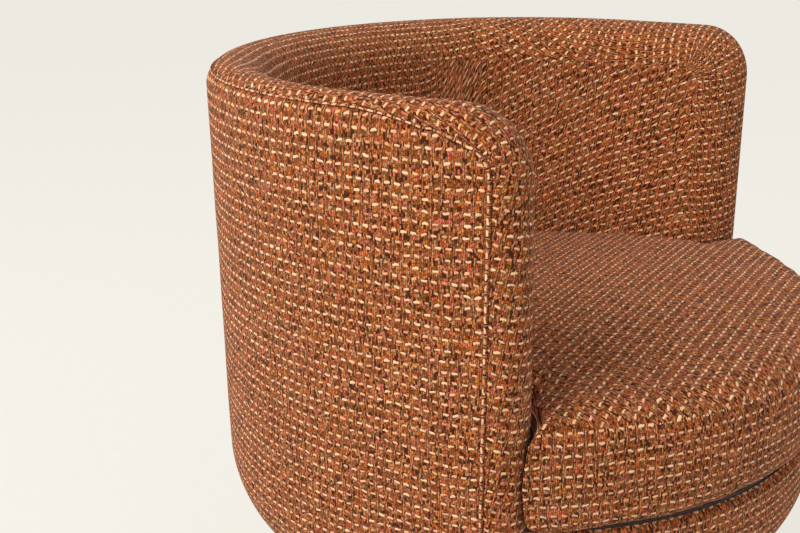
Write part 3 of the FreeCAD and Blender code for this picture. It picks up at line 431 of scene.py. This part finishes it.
def band_columns(way):
    """Columns of the crown and front band of one half of the tub."""
    columns = []
    stations = half_stations()
    u = v = 0.0
    last = stations[-1].run
    places = {}
    for station in reversed(stations):
        turn = band_turn(station.run)
        step = station.run - last
        last = station.run
        u += step * math.cos(turn)
        v += step * math.sin(turn)
        places[id(station)] = (u, v, turn)
    for station in stations:
        u, v, turn = places[id(station)]
        column = []
        for depth, below, length, across in band_section(station):
            point = station.place(way, depth, below)
            along = u + across * math.sin(turn)
            column.append((point, (way * along, v - across * math.cos(turn))))
        columns.append(column)
    return columns


def inside_columns(way):
    """Columns of the inside face of one half of the tub, under the band."""
    columns = []
    for station in half_stations():
        if station.kind == "front":
            break
        below = band_section(station)[0][1]
        if station.kind == "crown":
            behind, top = station.behind, station.height - below
        else:
            reach = arm_corner_radius - below
            behind = station.behind - reach * math.sin(station.turn)
            top = station.height + reach * math.cos(station.turn)
        column = []
        for row in range(inside_rows + 1):
            height = mix(top, inside_bottom, row / inside_rows)
            shift = lean(height) * smooth((0.15 - behind) / (0.15 - front_inner_radius))
            run = face_station - behind + shift
            point = at(way * run, wall_thickness, height)
            forward = max(0.0, run - 0.18)
            share = smooth(forward / 0.16)
            rise = inside_row_rise * share
            u = run * (1 - wall_thickness / corner_radius)
            u += (crown_height - height) * math.tan(inside_thread_lean) * share
            v = height * math.cos(rise) - forward * math.sin(rise) * 0.8
            column.append((point, (way * u, v)))
        columns.append(column)
    return columns


def inside_upholstery():
    """Inside of the tub, the crown and both arm fronts, in one piece up to the outside seam."""
    grids = []
    for way in (1, -1):
        grids.append(band_columns(way))
        grids.append(inside_columns(way))
    outward = (Vector((0, 0.298, 0.55)), Vector((0, -1, 0)))
    return cloth_piece("inside_upholstery", grids, outward)


def seam_path(way):
    """Points of the outside seam of one half, with outward directions and welt radii."""
    path = []
    for station in half_stations():
        depth, below, length, across = band_section(station)[-1]
        point = station.place(way, depth - 0.0012, below)
        inward = plan(way * (face_station - station.behind))[1]
        radius = mix(top_welt_radius, welt_radius, smooth(0.4 - station.run / 0.05))
        path.append((point, -inward, radius))
    return path


def seam_welt(name, way):
    """Narrow welt in the outside seam of one half of the tub."""
    path = seam_path(way)
    columns = []
    run = 0.0
    for index, (point, outward, radius) in enumerate(path):
        before = path[max(0, index - 1)][0]
        after = path[min(len(path) - 1, index + 1)][0]
        if index:
            run += (point - before).length
        along = (after - before).normalized()
        across = along.cross(outward).normalized()
        lift = across.cross(along).normalized()
        column = []
        for side in range(welt_sides + 1):
            turn = 2 * math.pi * side / welt_sides
            place = point + (across * math.cos(turn) + lift * math.sin(turn)) * radius
            column.append((place, (run, row_pitch / 2 + radius * (turn - math.pi / 2))))
        columns.append(column)
    point, outward, radius = path[40]
    piece = cloth_piece(name, [columns], (point + outward * welt_radius, outward), 0)
    close_ends(piece)
    return piece


def close_ends(piece):
    """Caps on the open ends of a tube."""
    pick(piece)
    bpy.ops.object.mode_set(mode="EDIT")
    bpy.ops.mesh.select_mode(type="EDGE")
    bpy.ops.mesh.select_all(action="DESELECT")
    bpy.ops.mesh.select_non_manifold()
    bpy.ops.mesh.edge_face_add()
    bpy.ops.mesh.select_all(action="DESELECT")
    bpy.ops.object.mode_set(mode="OBJECT")


def front_rail_panel():
    """Curved front below the cushion, between the arm fronts, tucked under at its foot."""
    columns = []
    top = deck_top - 0.001
    for step in range(rail_columns + 1):
        share = 2 * step / rail_columns - 1
        column = []
        for row in range(rail_rows + 1):
            height = mix(foot_height, top, row / rail_rows)
            radius = front_radius - tuck(height)
            turn = share * rail_half_turn(radius, height)
            edge = top - height
            radius -= rolled(0.006, edge) if edge < 0.006 else 0.0
            y = widest_y - radius * math.cos(turn)
            place = Vector((radius * math.sin(turn), y, height))
            column.append((place, (turn * front_radius, -tuck_run(height))))
        columns.append(column)
    outward = (Vector((0, widest_y - front_radius, 0.28)), Vector((0, -1, 0)))
    return cloth_piece("front_rail_panel", [columns], outward)


def rail_half_turn(radius, height):
    """Turn from the middle of the front rail to where it runs into an arm's front."""
    low, high = math.radians(20), math.radians(110)
    face = face_station + lean(height) - recede(height)
    point, inward = plan(face)
    forward = Vector((-inward.y, inward.x, 0))
    if forward.y > 0:
        forward = -forward
    for step in range(30):
        turn = (low + high) / 2
        place = Vector((radius * math.sin(turn), widest_y - radius * math.cos(turn), 0))
        if (place - point).dot(forward) > -0.006:
            low = turn
        else:
            high = turn
    return low


def rim_reach(corner, inward, forward, depth):
    """How far ahead of an arm's seam the cushion's front edge is at a depth across the wall."""
    centre = Vector((0, widest_y, 0))
    reach = cushion_gap
    while (corner + inward * depth + forward * reach - centre).length < cushion_front_radius:
        reach += 0.001
    return reach


def ahead_of_nose(place, side):
    """Cushion point moved forward in proportion where it would press into an arm's nose."""
    corner, inward = plan(seam_station)
    forward = Vector((-inward.y, inward.x, 0))
    away = Vector((abs(place.x), place.y, 0)) - Vector((corner.x, corner.y, 0))
    depth, ahead = away.dot(inward), away.dot(forward)
    if not 0 < depth < wall_thickness or ahead < 0:
        return place
    rim = rim_reach(corner, inward, forward, depth)
    share = min(1.0, max(0.0, ahead - cushion_gap) / max(0.004, rim - cushion_gap))
    depth = max(ear_least_depth, wall_thickness - (wall_thickness - depth) * ear_stretch)
    if depth < front_outer_radius:
        nose = math.sqrt(front_outer_radius**2 - (front_outer_radius - depth) ** 2)
    else:
        past = max(0.0, depth - wall_thickness + front_inner_radius)
        rise = math.sqrt(max(0.0, front_inner_radius**2 - past**2))
        nose = seam_setback - front_inner_radius + rise
    nose += lean(place.z) - ear_press
    nose = max(nose, cushion_gap)
    thickness = rim_reach(corner, inward, forward, depth) - nose
    ahead = nose + share * max(ear_least_thickness, thickness)
    spot = corner + inward * depth + forward * ahead
    return Vector((side * spot.x, spot.y, place.z))


def clear_of_tub(place):
    """Cushion point moved in where it would press into the inside of the tub."""
    limit = wall_thickness + cushion_clearance
    side = 1 if place.x >= 0 else -1
    x, y = abs(place.x), place.y
    if y < widest_y:
        centre, radius = Vector((half_width - side_radius, widest_y)), side_radius
        if y < plan(seam_station - 0.004)[0].y + 0.012:
            return ahead_of_nose(place, side)
    elif math.atan2(x - corner_x, y - widest_y) > back_half_sweep and x > corner_x:
        centre, radius = Vector((corner_x, widest_y)), corner_radius
    else:
        centre, radius = Vector((0, back_y)), back_radius
    away = Vector((x, y)) - centre
    if away.length > radius - limit:
        away = away.normalized() * (radius - limit)
        spot = centre + away
        return Vector((side * spot.x, spot.y, place.z))
    return place


def copy_of(node, name):
    """Separate copy of a frame node's mesh, with its loose corners merged."""
    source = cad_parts[node]
    mesh = source.data.copy()
    piece = bpy.data.objects.new(name, mesh)
    bpy.context.scene.collection.objects.link(piece)
    mesh.materials.clear()
    build = bmesh.new()
    build.from_mesh(mesh)
    bmesh.ops.remove_doubles(build, verts=build.verts, dist=0.00005)
    build.to_mesh(mesh)
    build.free()
    return piece


def swell(piece, pressure, limit):
    """Blow a closed cloth form up from inside and keep where it settles."""
    pick(piece)
    cloth = piece.modifiers.new("filling", "CLOTH")
    cloth.settings.use_pressure = True
    cloth.settings.uniform_pressure_force = pressure
    cloth.settings.effector_weights.gravity = 0
    cloth.settings.mass = 0.3
    cloth.settings.tension_stiffness = 20
    cloth.settings.compression_stiffness = 20
    cloth.settings.bending_stiffness = 2
    cloth.point_cache.frame_start = 1
    cloth.point_cache.frame_end = swell_frames
    start = [vertex.co.copy() for vertex in piece.data.vertices]
    scene = bpy.context.scene
    for step in range(1, swell_frames + 1):
        scene.frame_set(step)
    bpy.ops.object.modifier_apply(modifier=cloth.name)
    for vertex, rest in zip(piece.data.vertices, start):
        move = vertex.co - rest
        if move.length > limit:
            vertex.co = rest + move.normalized() * limit
    scene.frame_set(1)


def seat_cushion():
    """Loose seat cushion with a crowned top and full borders, wider ahead of the arms."""
    piece = copy_of("cushion_core", "seat_cushion")
    pick(piece)
    fine = piece.modifiers.new("even_mesh", "REMESH")
    fine.mode = "VOXEL"
    fine.voxel_size = cushion_voxel
    bpy.ops.object.modifier_apply(modifier=fine.name)
    swell(piece, swell_pressure, swell_limit)
    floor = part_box("cushion_base_panel")[0][2]
    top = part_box("cushion_cover")[1][2]
    places = []
    for vertex in piece.data.vertices:
        place = clear_of_tub(vertex.co)
        sink = cushion_sink * smooth((place.y + 0.20) / 0.34)
        place.z = max(floor, place.z - sink * max(0.0, (place.z - floor) / (top - floor)))
        places.extend(place)
    piece.data.vertices.foreach_set("co", places)
    piece.data.update()
    pick(piece)
    finer = piece.modifiers.new("soften", "SUBSURF")
    finer.levels = 1
    finer.render_levels = 1
    bpy.ops.object.modifier_apply(modifier=finer.name)
    bpy.ops.object.shade_smooth()
    lay_weave_on_cushion(piece)
    return piece


def lay_weave_on_cushion(piece):
    """Rows across the chair on the top, and rows along the edge on the border."""
    mesh = piece.data
    weave = mesh.uv_layers.get("weave") or mesh.uv_layers.new(name="weave")
    centre = Vector((0, widest_y, 0))
    for face in mesh.polygons:
        flat = abs(face.normal.z) > 0.66
        for corner in face.loop_indices:
            place = mesh.vertices[mesh.loops[corner].vertex_index].co
            if flat:
                weave.data[corner].uv = (place.x, place.y)
            else:
                turn = math.atan2(place.x, centre.y - place.y)
                middle = math.atan2(face.center.x, centre.y - face.center.y)
                if turn - middle > math.pi:
                    turn -= 2 * math.pi
                if middle - turn > math.pi:
                    turn += 2 * math.pi
                weave.data[corner].uv = (turn * front_radius, place.z + 0.0025)


def rocking_springs():
    """Four coil springs between the tray and the yoke, each wound from a small circle."""
    low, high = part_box("coil_springs")
    wire, radius, turns = spring_wire, spring_radius, spring_turns
    coils = []
    for x in (-spring_x, spring_x):
        for y in (-spring_y, spring_y):
            clear_selection()
            place = {"location": (radius, 0, 0), "rotation": (math.pi / 2, 0, 0)}
            bpy.ops.mesh.primitive_circle_add(vertices=12, radius=wire, **place)
            coil = bpy.context.active_object
            bpy.ops.object.transform_apply(location=True, rotation=True, scale=True)
            winding = coil.modifiers.new("winding", "SCREW")
            winding.angle = 2 * math.pi * turns
            winding.screw_offset = high[2] - low[2] - 2 * wire
            winding.steps = winding.render_steps = 18 * turns
            bpy.ops.object.modifier_apply(modifier=winding.name)
            coil.location = (x, y, low[2] + wire)
            bpy.ops.object.transform_apply(location=True, rotation=False, scale=False)
            close_ends(coil)
            coils.append(coil)
    clear_selection()
    for coil in coils:
        coil.select_set(True)
    bpy.context.view_layer.objects.active = coils[0]
    bpy.ops.object.join()
    piece = coils[0]
    piece.name = "rocking_springs"
    bpy.ops.object.mode_set(mode="EDIT")
    bpy.ops.mesh.select_all(action="SELECT")
    bpy.ops.mesh.normals_make_consistent(inside=False)
    bpy.ops.object.mode_set(mode="OBJECT")
    bpy.ops.object.shade_smooth()
    return piece


def stretched_sheet(name, node, thickness):
    """Thin cloth in the outline of a frame node, taken from its upper face."""
    piece = copy_of(node, name)
    build = bmesh.new()
    build.from_mesh(piece.data)
    build.normal_update()
    top = max(vertex.co.z for vertex in build.verts)
    level = top - 0.0004
    faces = build.faces
    drop = [face for face in faces if face.normal.z < 0.9 or face.calc_center_median().z < level]
    bmesh.ops.delete(build, geom=drop, context="FACES")
    bmesh.ops.dissolve_limit(build, angle_limit=0.01, verts=build.verts, edges=build.edges)
    bmesh.ops.triangulate(build, faces=build.faces)
    for cut in range(9):
        line = -0.4 + 0.1 * cut
        for normal in (Vector((1, 0, 0)), Vector((0, 1, 0))):
            geometry = build.verts[:] + build.edges[:] + build.faces[:]
            place = normal * line
            bmesh.ops.bisect_plane(build, geom=geometry, plane_co=place, plane_no=normal)
    area = sum(face.calc_area() for face in build.faces)
    build.to_mesh(piece.data)
    build.free()
    pick(piece)
    wall = piece.modifiers.new("wall", "SOLIDIFY")
    wall.thickness = thickness
    wall.offset = -1
    bpy.ops.object.modifier_apply(modifier=wall.name)
    low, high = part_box(node)
    return piece, (high[0] - low[0], high[1] - low[1]), area


class Wire:
    """An output of a finish's nodes. Arithmetic on it adds Math nodes."""

    def __init__(self, finish, socket):
        self.finish = finish
        self.socket = socket

    def also(self, output):
        """Another output of the same node."""
        return Wire(self.finish, self.socket.node.outputs[output])

    def math(self, operation, *others):
        values = dict(enumerate((self,) + others))
        return self.finish.node("Math", {"operation": operation}, values)

    def __add__(self, other):
        return self.math("ADD", other)

    def __radd__(self, other):
        return self.math("ADD", other)

    def __sub__(self, other):
        return self.math("SUBTRACT", other)

    def __rsub__(self, other):
        return self.finish.node("Math", {"operation": "SUBTRACT"}, {0: other, 1: self})

    def __mul__(self, other):
        return self.math("MULTIPLY", other)

    def __rmul__(self, other):
        return self.math("MULTIPLY", other)

    def __truediv__(self, other):
        return self.math("DIVIDE", other)

    def __abs__(self):
        return self.math("ABSOLUTE")

    def floor(self):
        return self.math("FLOOR")

    def fract(self):
        return self.math("FRACT")

    def root(self):
        return self.math("SQRT")

    def least(self, other):
        return self.math("MINIMUM", other)

    def most(self, other):
        return self.math("MAXIMUM", other)

    def fade(self, start, end):
        """1 before start and 0 after end, softly between."""
        settings = {"interpolation_type": "SMOOTHSTEP"}
        values = {"Value": self, "From Min": start, "From Max": end}
        values.update({"To Min": 1.0, "To Max": 0.0})
        return self.finish.node("MapRange", settings, values)


class Finish:
    """A material made of nodes."""

    def __init__(self, name):
        self.material = bpy.data.materials.new(name)
        self.material.use_nodes = True
        self.tree = self.material.node_tree
        self.tree.nodes.clear()

    def node(self, kind, settings=None, values=None, output=0):
        """A node of a kind with its settings, then the values or wires of its sockets."""
        node = self.tree.nodes.new("ShaderNode" + kind)
        for key, value in (settings or {}).items():
            if key == "stops":
                self.fill_ramp(node.color_ramp, value)
            else:
                setattr(node, key, value)
        for key, value in (values or {}).items():
            socket = node.inputs[key]
            if isinstance(value, Wire):
                self.tree.links.new(value.socket, socket)
            else:
                socket.default_value = value
        return Wire(self, node.outputs[output]) if len(node.outputs) else None

    def fill_ramp(self, ramp, stops):
        """Stops of a colour ramp as places and colours."""
        while len(ramp.elements) < len(stops):
            ramp.elements.new(1.0)
        for element, (place, colour) in zip(ramp.elements, stops):
            element.position = place
            element.color = colour

    def ramp(self, factor, stops, interpolation="LINEAR"):
        node = self.node("ValToRGB", {"stops": stops}, {"Fac": factor})
        node.socket.node.color_ramp.interpolation = interpolation
        return node

    def blend(self, factor, a, b, way="MIX"):
        """Mix of two colours."""
        settings = {"data_type": "RGBA", "blend_type": way}
        return self.node("Mix", settings, {0: factor, 6: a, 7: b}, 2)

    def pair(self, x, y):
        """Vector of two values."""
        return self.node("CombineXYZ", {}, {0: x, 1: y})

    def noise(self, place, scale, detail=2.0, roughness=0.5, output=0):
        values = {"Vector": place, "Scale": scale, "Detail": detail, "Roughness": roughness}
        return self.node("TexNoise", {}, values, output)

    def stretch(self, place, scale):
        """Place drawn out by a different share along each axis."""
        return self.node("Mapping", {}, {"Vector": place, "Scale": scale})

    def scatter(self, place, output=0):
        """Random value for each whole place."""
        return self.node("TexWhiteNoise", {"noise_dimensions": "2D"}, {"Vector": place}, output)

    def bump(self, height, distance, strength=1.0):
        values = {"Height": height, "Distance": distance, "Strength": strength}
        return self.node("Bump", {}, values)

    def close(self, **sockets):
        """The surface shader with its sockets, joined to the output."""
        values = {key.replace("_", " "): value for key, value in sockets.items()}
        shader = self.node("BsdfPrincipled", {}, values)
        self.node("OutputMaterial", {}, {"Surface": shader})
        return self.material


def shade(red, green, blue):
    """Colour as seen, in steps of 255, turned into the linear colour of a shader."""

    def linear(step):
        level = step / 255
        return level / 12.92 if level <= 0.04045 else ((level + 0.055) / 1.055) ** 2.4

    return (linear(red), linear(green), linear(blue), 1.0)


def tweed():
    """Chunky tweed: rows of pale weft dashes on a heather ground of short upright bits."""
    finish = Finish("tweed")
    place = finish.node("UVMap", {"uv_map": "weave"})
    wander = finish.noise(place, 260.0, 1.0, output=1)
    middle = (0.5, 0.5, 0.5)
    shake = finish.node("VectorMath", {"operation": "SUBTRACT"}, {0: wander, 1: middle})
    shake = finish.node("VectorMath", {"operation": "SCALE"}, {0: shake, "Scale": 0.0028})
    bent = finish.node("VectorMath", {"operation": "ADD"}, {0: place, 1: shake})
    parts = finish.node("SeparateXYZ", {}, {0: bent})
    across = parts * 1000
    along = parts.also(1) * 1000

    # Rows of dashes, in millimetres.
    row_size, dash_size = row_pitch * 1000, dash_pitch * 1000
    row = along / row_size
    row_number = row.floor()
    row_chance = finish.scatter(finish.pair(row_number, 3.0))
    dash = across / dash_size + row_chance * 0.55
    dash_number = dash.floor()
    dash_key = finish.pair(dash_number, row_number)
    dash_chance = finish.scatter(dash_key)
    dash_tint = finish.scatter(dash_key, 1)
    tint_parts = finish.node("SeparateColor", {}, {0: dash_tint})
    other_chance = tint_parts.also(1)
    from_middle = (dash.fract() - 0.46) * dash_size
    slant = (other_chance - 0.5) * 0.5
    curl = from_middle * from_middle * (other_chance - 0.3) * 0.06
    from_row = (row.fract() - 0.5) * row_size + from_middle * slant
    from_row = from_row + curl + (dash_chance - 0.7) * 0.8
    half_length = 1.1 + dash_chance * 1.0
    beyond = (abs(from_middle) - half_length).most(0.0)
    outline = (beyond * beyond + from_row * from_row).root()
    dash_mask = outline.fade(1.0, 1.5)
    dash_height = (1.0 - (outline / 1.7) * (outline / 1.7)).most(0.0).root()

    # Heather ground of upright bits between the rows.
    bit_width, bit_length = 2.04, 3.67
    bit = across / bit_width
    bit_number = bit.floor()
    bit_chance = finish.scatter(finish.pair(bit_number, 11.0))
    level = along / bit_length + bit_chance
    bit_key = finish.pair(bit_number, level.floor())
    bit_pick = finish.scatter(bit_key)
    ground = finish.ramp(
        bit_pick,
        [
            (0.0, shade(72, 34, 14)),
            (0.14, shade(120, 66, 34)),
            (0.28, shade(152, 84, 38)),
            (0.42, shade(128, 90, 46)),
            (0.54, shade(184, 96, 44)),
            (0.66, shade(168, 98, 74)),
            (0.77, shade(206, 128, 66)),
            (0.86, shade(186, 140, 104)),
            (0.94, shade(206, 104, 92)),
        ],
        "CONSTANT",
    )
    bit_round = 1.0 - abs(bit.fract() - 0.5) * 2.0
    bit_end = 1.0 - abs(level.fract() - 0.5) * 2.0
    bit_height = bit_round.root() * (bit_end * 3.0).least(1.0)
    # 1 on the body of each bit and 0 in the crevices between bits, where painted shade darkens the
    # ground.
    clear_of_painted_shade = (bit_round * 2.6).least(1.0) * (bit_end * 4.0).least(1.0)

    # Holes behind each dash, darkened with painted shade, and thin warp ticks beside it.
    in_row = abs(from_row).fade(1.2, 2.4)
    hole_dip_and_painted_shade = abs(from_middle - 4.15).fade(0.5, 1.3) * in_row
    tick = abs(from_middle - 4.9).fade(0.25, 0.8) * abs(from_row).fade(2.2, 3.6)

    fibre = finish.noise(bent, 1900.0, 2.0, 0.6)
    drift = finish.noise(place, 22.0, 2.0)
    dash_colour = finish.ramp(
        dash_chance,
        [
            (0.0, shade(196, 136, 100)),
            (0.2, shade(228, 176, 140)),
            (0.6, shade(236, 184, 154)),
            (1.0, shade(246, 212, 180)),
        ],
    )
    # Painted shade: the crevices between the bits of the ground darkened to a near-black brown.
    colour = finish.blend(clear_of_painted_shade, shade(62, 26, 8), ground)
    # Painted shade: the holes behind the dashes darkened to a near-black brown.
    colour = finish.blend(hole_dip_and_painted_shade * 0.85, colour, shade(54, 22, 8))
    colour = finish.blend(tick * 0.75, colour, shade(204, 150, 118))
    colour = finish.blend(dash_mask, colour, dash_colour)
    lit = 0.80 + fibre * 0.42
    lit = lit * (0.94 + drift * 0.12)
    warmth = finish.node("CombineColor", {}, {0: lit * 1.08, 1: lit * 0.98, 2: lit * 0.80})
    colour = finish.blend(1.0, colour, warmth, "MULTIPLY")
    # The bump dips in the holes as well.
    height = (bit_height * 0.45 * (1.0 - hole_dip_and_painted_shade)).most(dash_height * dash_mask) + fibre * 0.25
    normal = finish.bump(height, 0.0011, 0.9)
    return finish.close(
        Base_Color=colour,
        Roughness=0.92,
        Normal=normal,
        Sheen_Weight=0.06,
        Sheen_Roughness=0.5,
        Specular_IOR_Level=0.12,
    )


def object_place(finish):
    """Place on the object in metres."""
    return finish.node("TexCoord", {}, {}, 3)


def fine_noise_finish(name, dark, pale, scale, roughness, bump_depth, metallic=0.0):
    """Plain material with fine mottling and a matching bump."""
    finish = Finish(name)
    place = object_place(finish)
    fine = finish.noise(place, scale, 4.0, 0.6)
    broad = finish.noise(place, scale / 14, 2.0)
    colour = finish.ramp(fine * 0.7 + broad * 0.3, [(0.3, dark), (0.7, pale)])
    level = roughness - 0.12 + fine * 0.24
    normal = finish.bump(fine, bump_depth)
    return finish.close(Base_Color=colour, Roughness=level, Normal=normal, Metallic=metallic)


def plies():
    """Plywood: thin level layers on its edges, with fine grain."""
    finish = Finish("plywood")
    place = object_place(finish)
    parts = finish.node("SeparateXYZ", {}, {0: place})
    height = parts.also(2)
    layer = (height / 0.0018 + finish.noise(place, 9.0) * 0.4).fract()
    grain = finish.noise(finish.stretch(place, (30, 30, 400)), 6.0, 5.0)
    stops = [(0.2, shade(150, 112, 70)), (0.8, shade(214, 180, 132))]
    colour = finish.ramp(layer * 0.45 + grain * 0.55, stops)
    return finish.close(Base_Color=colour, Roughness=0.7, Normal=finish.bump(grain, 0.0003))


def hardwood():
    """Straight-grained hardwood with pores along its length."""
    finish = Finish("hardwood")
    place = object_place(finish)
    values = {"Vector": place, "Scale": 38.0, "Distortion": 6.0, "Detail": 3.0}
    rings = finish.node("TexWave", {"wave_type": "BANDS"}, values, 1)
    pores = finish.noise(finish.stretch(place, (60, 6, 60)), 12.0, 5.0, 0.7)
    stops = [(0.25, shade(138, 96, 58)), (0.75, shade(204, 164, 116))]
    colour = finish.ramp(rings * 0.35 + pores * 0.65, stops)
    return finish.close(Base_Color=colour, Roughness=0.62, Normal=finish.bump(pores, 0.0003))


def black_cloth():
    """Black non-woven dust cloth with a fine pressed grid."""
    finish = Finish("black_cloth")
    place = object_place(finish)
    parts = finish.node("SeparateXYZ", {}, {0: place})
    x = (parts / 0.0016).fract() - 0.5
    y = (parts.also(1) / 0.0016).fract() - 0.5
    pit = (x * x + y * y).root().fade(0.18, 0.34)
    fibre = finish.noise(place, 900.0, 3.0)
    stops = [(0.2, shade(20, 20, 21)), (0.8, shade(52, 51, 50))]
    colour = finish.ramp(fibre - pit * 0.25, stops)
    normal = finish.bump(fibre - pit, 0.0003)
    return finish.close(Base_Color=colour, Roughness=0.94, Normal=normal)


def zinc_steel():
    """Bright zinc plate with faint drawn streaks."""
    finish = Finish("zinc_steel")
    place = object_place(finish)
    cells = finish.node("TexVoronoi", {"feature": "F1"}, {"Vector": place, "Scale": 140.0}, 1)
    streak = finish.noise(finish.stretch(place, (900, 60, 900)), 1.0, 3.0)
    tone = finish.node("SeparateColor", {}, {0: cells})
    stops = [(0.2, shade(150, 152, 156)), (0.8, shade(214, 216, 218))]
    colour = finish.ramp(tone * 0.4 + streak * 0.6, stops)
    level = 0.24 + streak * 0.2
    normal = finish.bump(streak, 0.0001)
    return finish.close(Base_Color=colour, Roughness=level, Metallic=1.0, Normal=normal)


def finishes():
    """Materials by the record's slot names."""
    made = {
        "tweed": tweed(),
        "black_cloth": black_cloth(),
        "plywood": plies(),
        "hardwood": hardwood(),
        "zinc_steel": zinc_steel(),
    }
    plain = (
        ("felt", (96, 92, 88), (150, 146, 140), 420.0, 0.95, 0.0006, 0.0),
        ("foam", (206, 186, 132), (236, 222, 178), 620.0, 0.9, 0.0005, 0.0),
        ("board", (120, 102, 80), (168, 148, 120), 240.0, 0.85, 0.0003, 0.0),
        ("black_steel", (22, 22, 24), (38, 38, 40), 700.0, 0.42, 0.0001, 0.0),
        ("spring_steel", (60, 58, 56), (112, 110, 106), 500.0, 0.36, 0.0001, 1.0),
        ("ball_steel", (186, 188, 190), (226, 226, 228), 300.0, 0.16, 0.00002, 1.0),
        ("nylon", (206, 202, 190), (232, 228, 216), 300.0, 0.4, 0.0001, 0.0),
        ("rubber", (24, 24, 24), (48, 47, 46), 520.0, 0.8, 0.0002, 0.0),
    )
    for name, dark, pale, *rest in plain:
        made[name] = fine_noise_finish(name, shade(*dark), shade(*pale), *rest)
    return made


def pale_surface(name, shown, ground):
    """Pale floor that the camera sees in the background's colour with a share of the shadow."""
    finish = Finish(name)
    path = finish.node("LightPath")
    seen = path.most(path.also("Is Glossy Ray")).most(path.also("Is Transmission Ray"))
    glow = finish.node("Emission", {}, {"Color": shown, "Strength": 1.0})
    grain = finish.noise(object_place(finish), 40.0, 3.0)
    colour = finish.ramp(grain, [(0.3, ground), (0.7, shade(236, 233, 226))])
    matt = finish.node("BsdfPrincipled", {}, {"Base Color": colour, "Roughness": 0.9})
    surface = finish.node("MixShader", {}, {0: seen * 0.8, 1: matt, 2: glow})
    finish.node("OutputMaterial", {}, {"Surface": surface})
    return finish.material


def studio():
    """Pale floor, soft light and the background."""
    clear_selection()
    bpy.ops.mesh.primitive_plane_add(size=30, location=(0, 0, 0))
    floor = bpy.context.active_object
    floor.name = "studio_floor"
    surface = pale_surface("studio_floor", shade(247, 244, 235), shade(228, 225, 217))
    floor.data.materials.append(surface)
    world = bpy.data.worlds.new("studio")
    bpy.context.scene.world = world
    world.use_nodes = True
    tree = world.node_tree
    tree.nodes.clear()
    path = tree.nodes.new("ShaderNodeLightPath")
    shown = tree.nodes.new("ShaderNodeBackground")
    shown.inputs["Color"].default_value = shade(244, 241, 232)
    fill = tree.nodes.new("ShaderNodeBackground")
    fill.inputs["Color"].default_value = (1.0, 0.985, 0.96, 1.0)
    fill.inputs["Strength"].default_value = 0.58
    share = tree.nodes.new("ShaderNodeMixShader")
    out = tree.nodes.new("ShaderNodeOutputWorld")
    tree.links.new(path.outputs["Is Camera Ray"], share.inputs[0])
    tree.links.new(fill.outputs[0], share.inputs[1])
    tree.links.new(shown.outputs[0], share.inputs[2])
    tree.links.new(share.outputs[0], out.inputs["Surface"])
    lamp("key", Vector((-2.6, 1.1, 3.0)), 2.0, 108.0)
    lamp("front", Vector((0.9, -2.8, 1.9)), 2.2, 8.0)


def lamp(name, place, size, power):
    """Square soft lamp aimed at the chair."""
    light = bpy.data.lights.new(name, "AREA")
    light.size = size
    light.energy = power
    item = bpy.data.objects.new(name, light)
    bpy.context.scene.collection.objects.link(item)
    item.location = place
    item.rotation_euler = (Vector((0, 0, 0.45)) - place).to_track_quat("-Z", "Y").to_euler()


def camera():
    """Camera above the right arm, looking down across the seat."""
    data = bpy.data.cameras.new("camera")
    data.lens = 44.83
    data.sensor_width = 36
    item = bpy.data.objects.new("camera", data)
    bpy.context.scene.collection.objects.link(item)
    heading = Matrix.Rotation(math.radians(-57.05), 4, "Z")
    pitch = Matrix.Rotation(math.radians(90 - 19.65), 4, "X")
    roll = Matrix.Rotation(math.radians(-0.29), 4, "Z")
    item.matrix_world = Matrix.Translation((-1.1109, -0.5219, 0.8864)) @ heading @ pitch @ roll
    bpy.context.scene.camera = item


bpy.context.scene.view_settings.view_transform = "Standard"
camera()
studio()
materials = finishes()

for name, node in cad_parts.items():
    for slot in node.material_slots:
        key = slot.material.name.split(".")[0] if slot.material else ""
        if key in materials:
            slot.material = materials[key]


def upholster(piece, *nodes, fill=0.6):
    """Tweed piece on the chair that stands for frame nodes."""
    piece.data.materials.clear()
    piece.data.materials.append(materials["tweed"])
    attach(piece, "chair")
    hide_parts(*nodes)


upholster(outside_panel(), "outside_cover", fill=0.3)
inside_nodes = ("inside_cover", "arm_front_left", "arm_front_right", "inside_pad", "crown_roll")
upholster(inside_upholstery(), *inside_nodes)
upholster(seam_welt("seam_welt_left", 1), "arm_welt_left", fill=1.0)
upholster(seam_welt("seam_welt_right", -1), "arm_welt_right", "top_welt", fill=1.0)
upholster(front_rail_panel(), "front_rail_cover", fill=0.3)
upholster(seat_cushion(), "cushion_cover", "cushion_core", "cushion_base_panel", fill=0.8)

springs = rocking_springs()
springs.data.materials.clear()
springs.data.materials.append(materials["spring_steel"])
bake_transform(springs)
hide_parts("coil_springs")

sheets = (
    ("seat_deck_cloth", "deck_cloth", "deck_felt"),
    ("under_cloth", "dust_cover", "bottom_hoop"),
)
for name, node, below in sheets:
    sheet, flat, area = stretched_sheet(name, node, 0.0008)
    sheet.data.materials.append(materials["black_cloth"])
    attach(sheet, "chair")
    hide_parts(node)
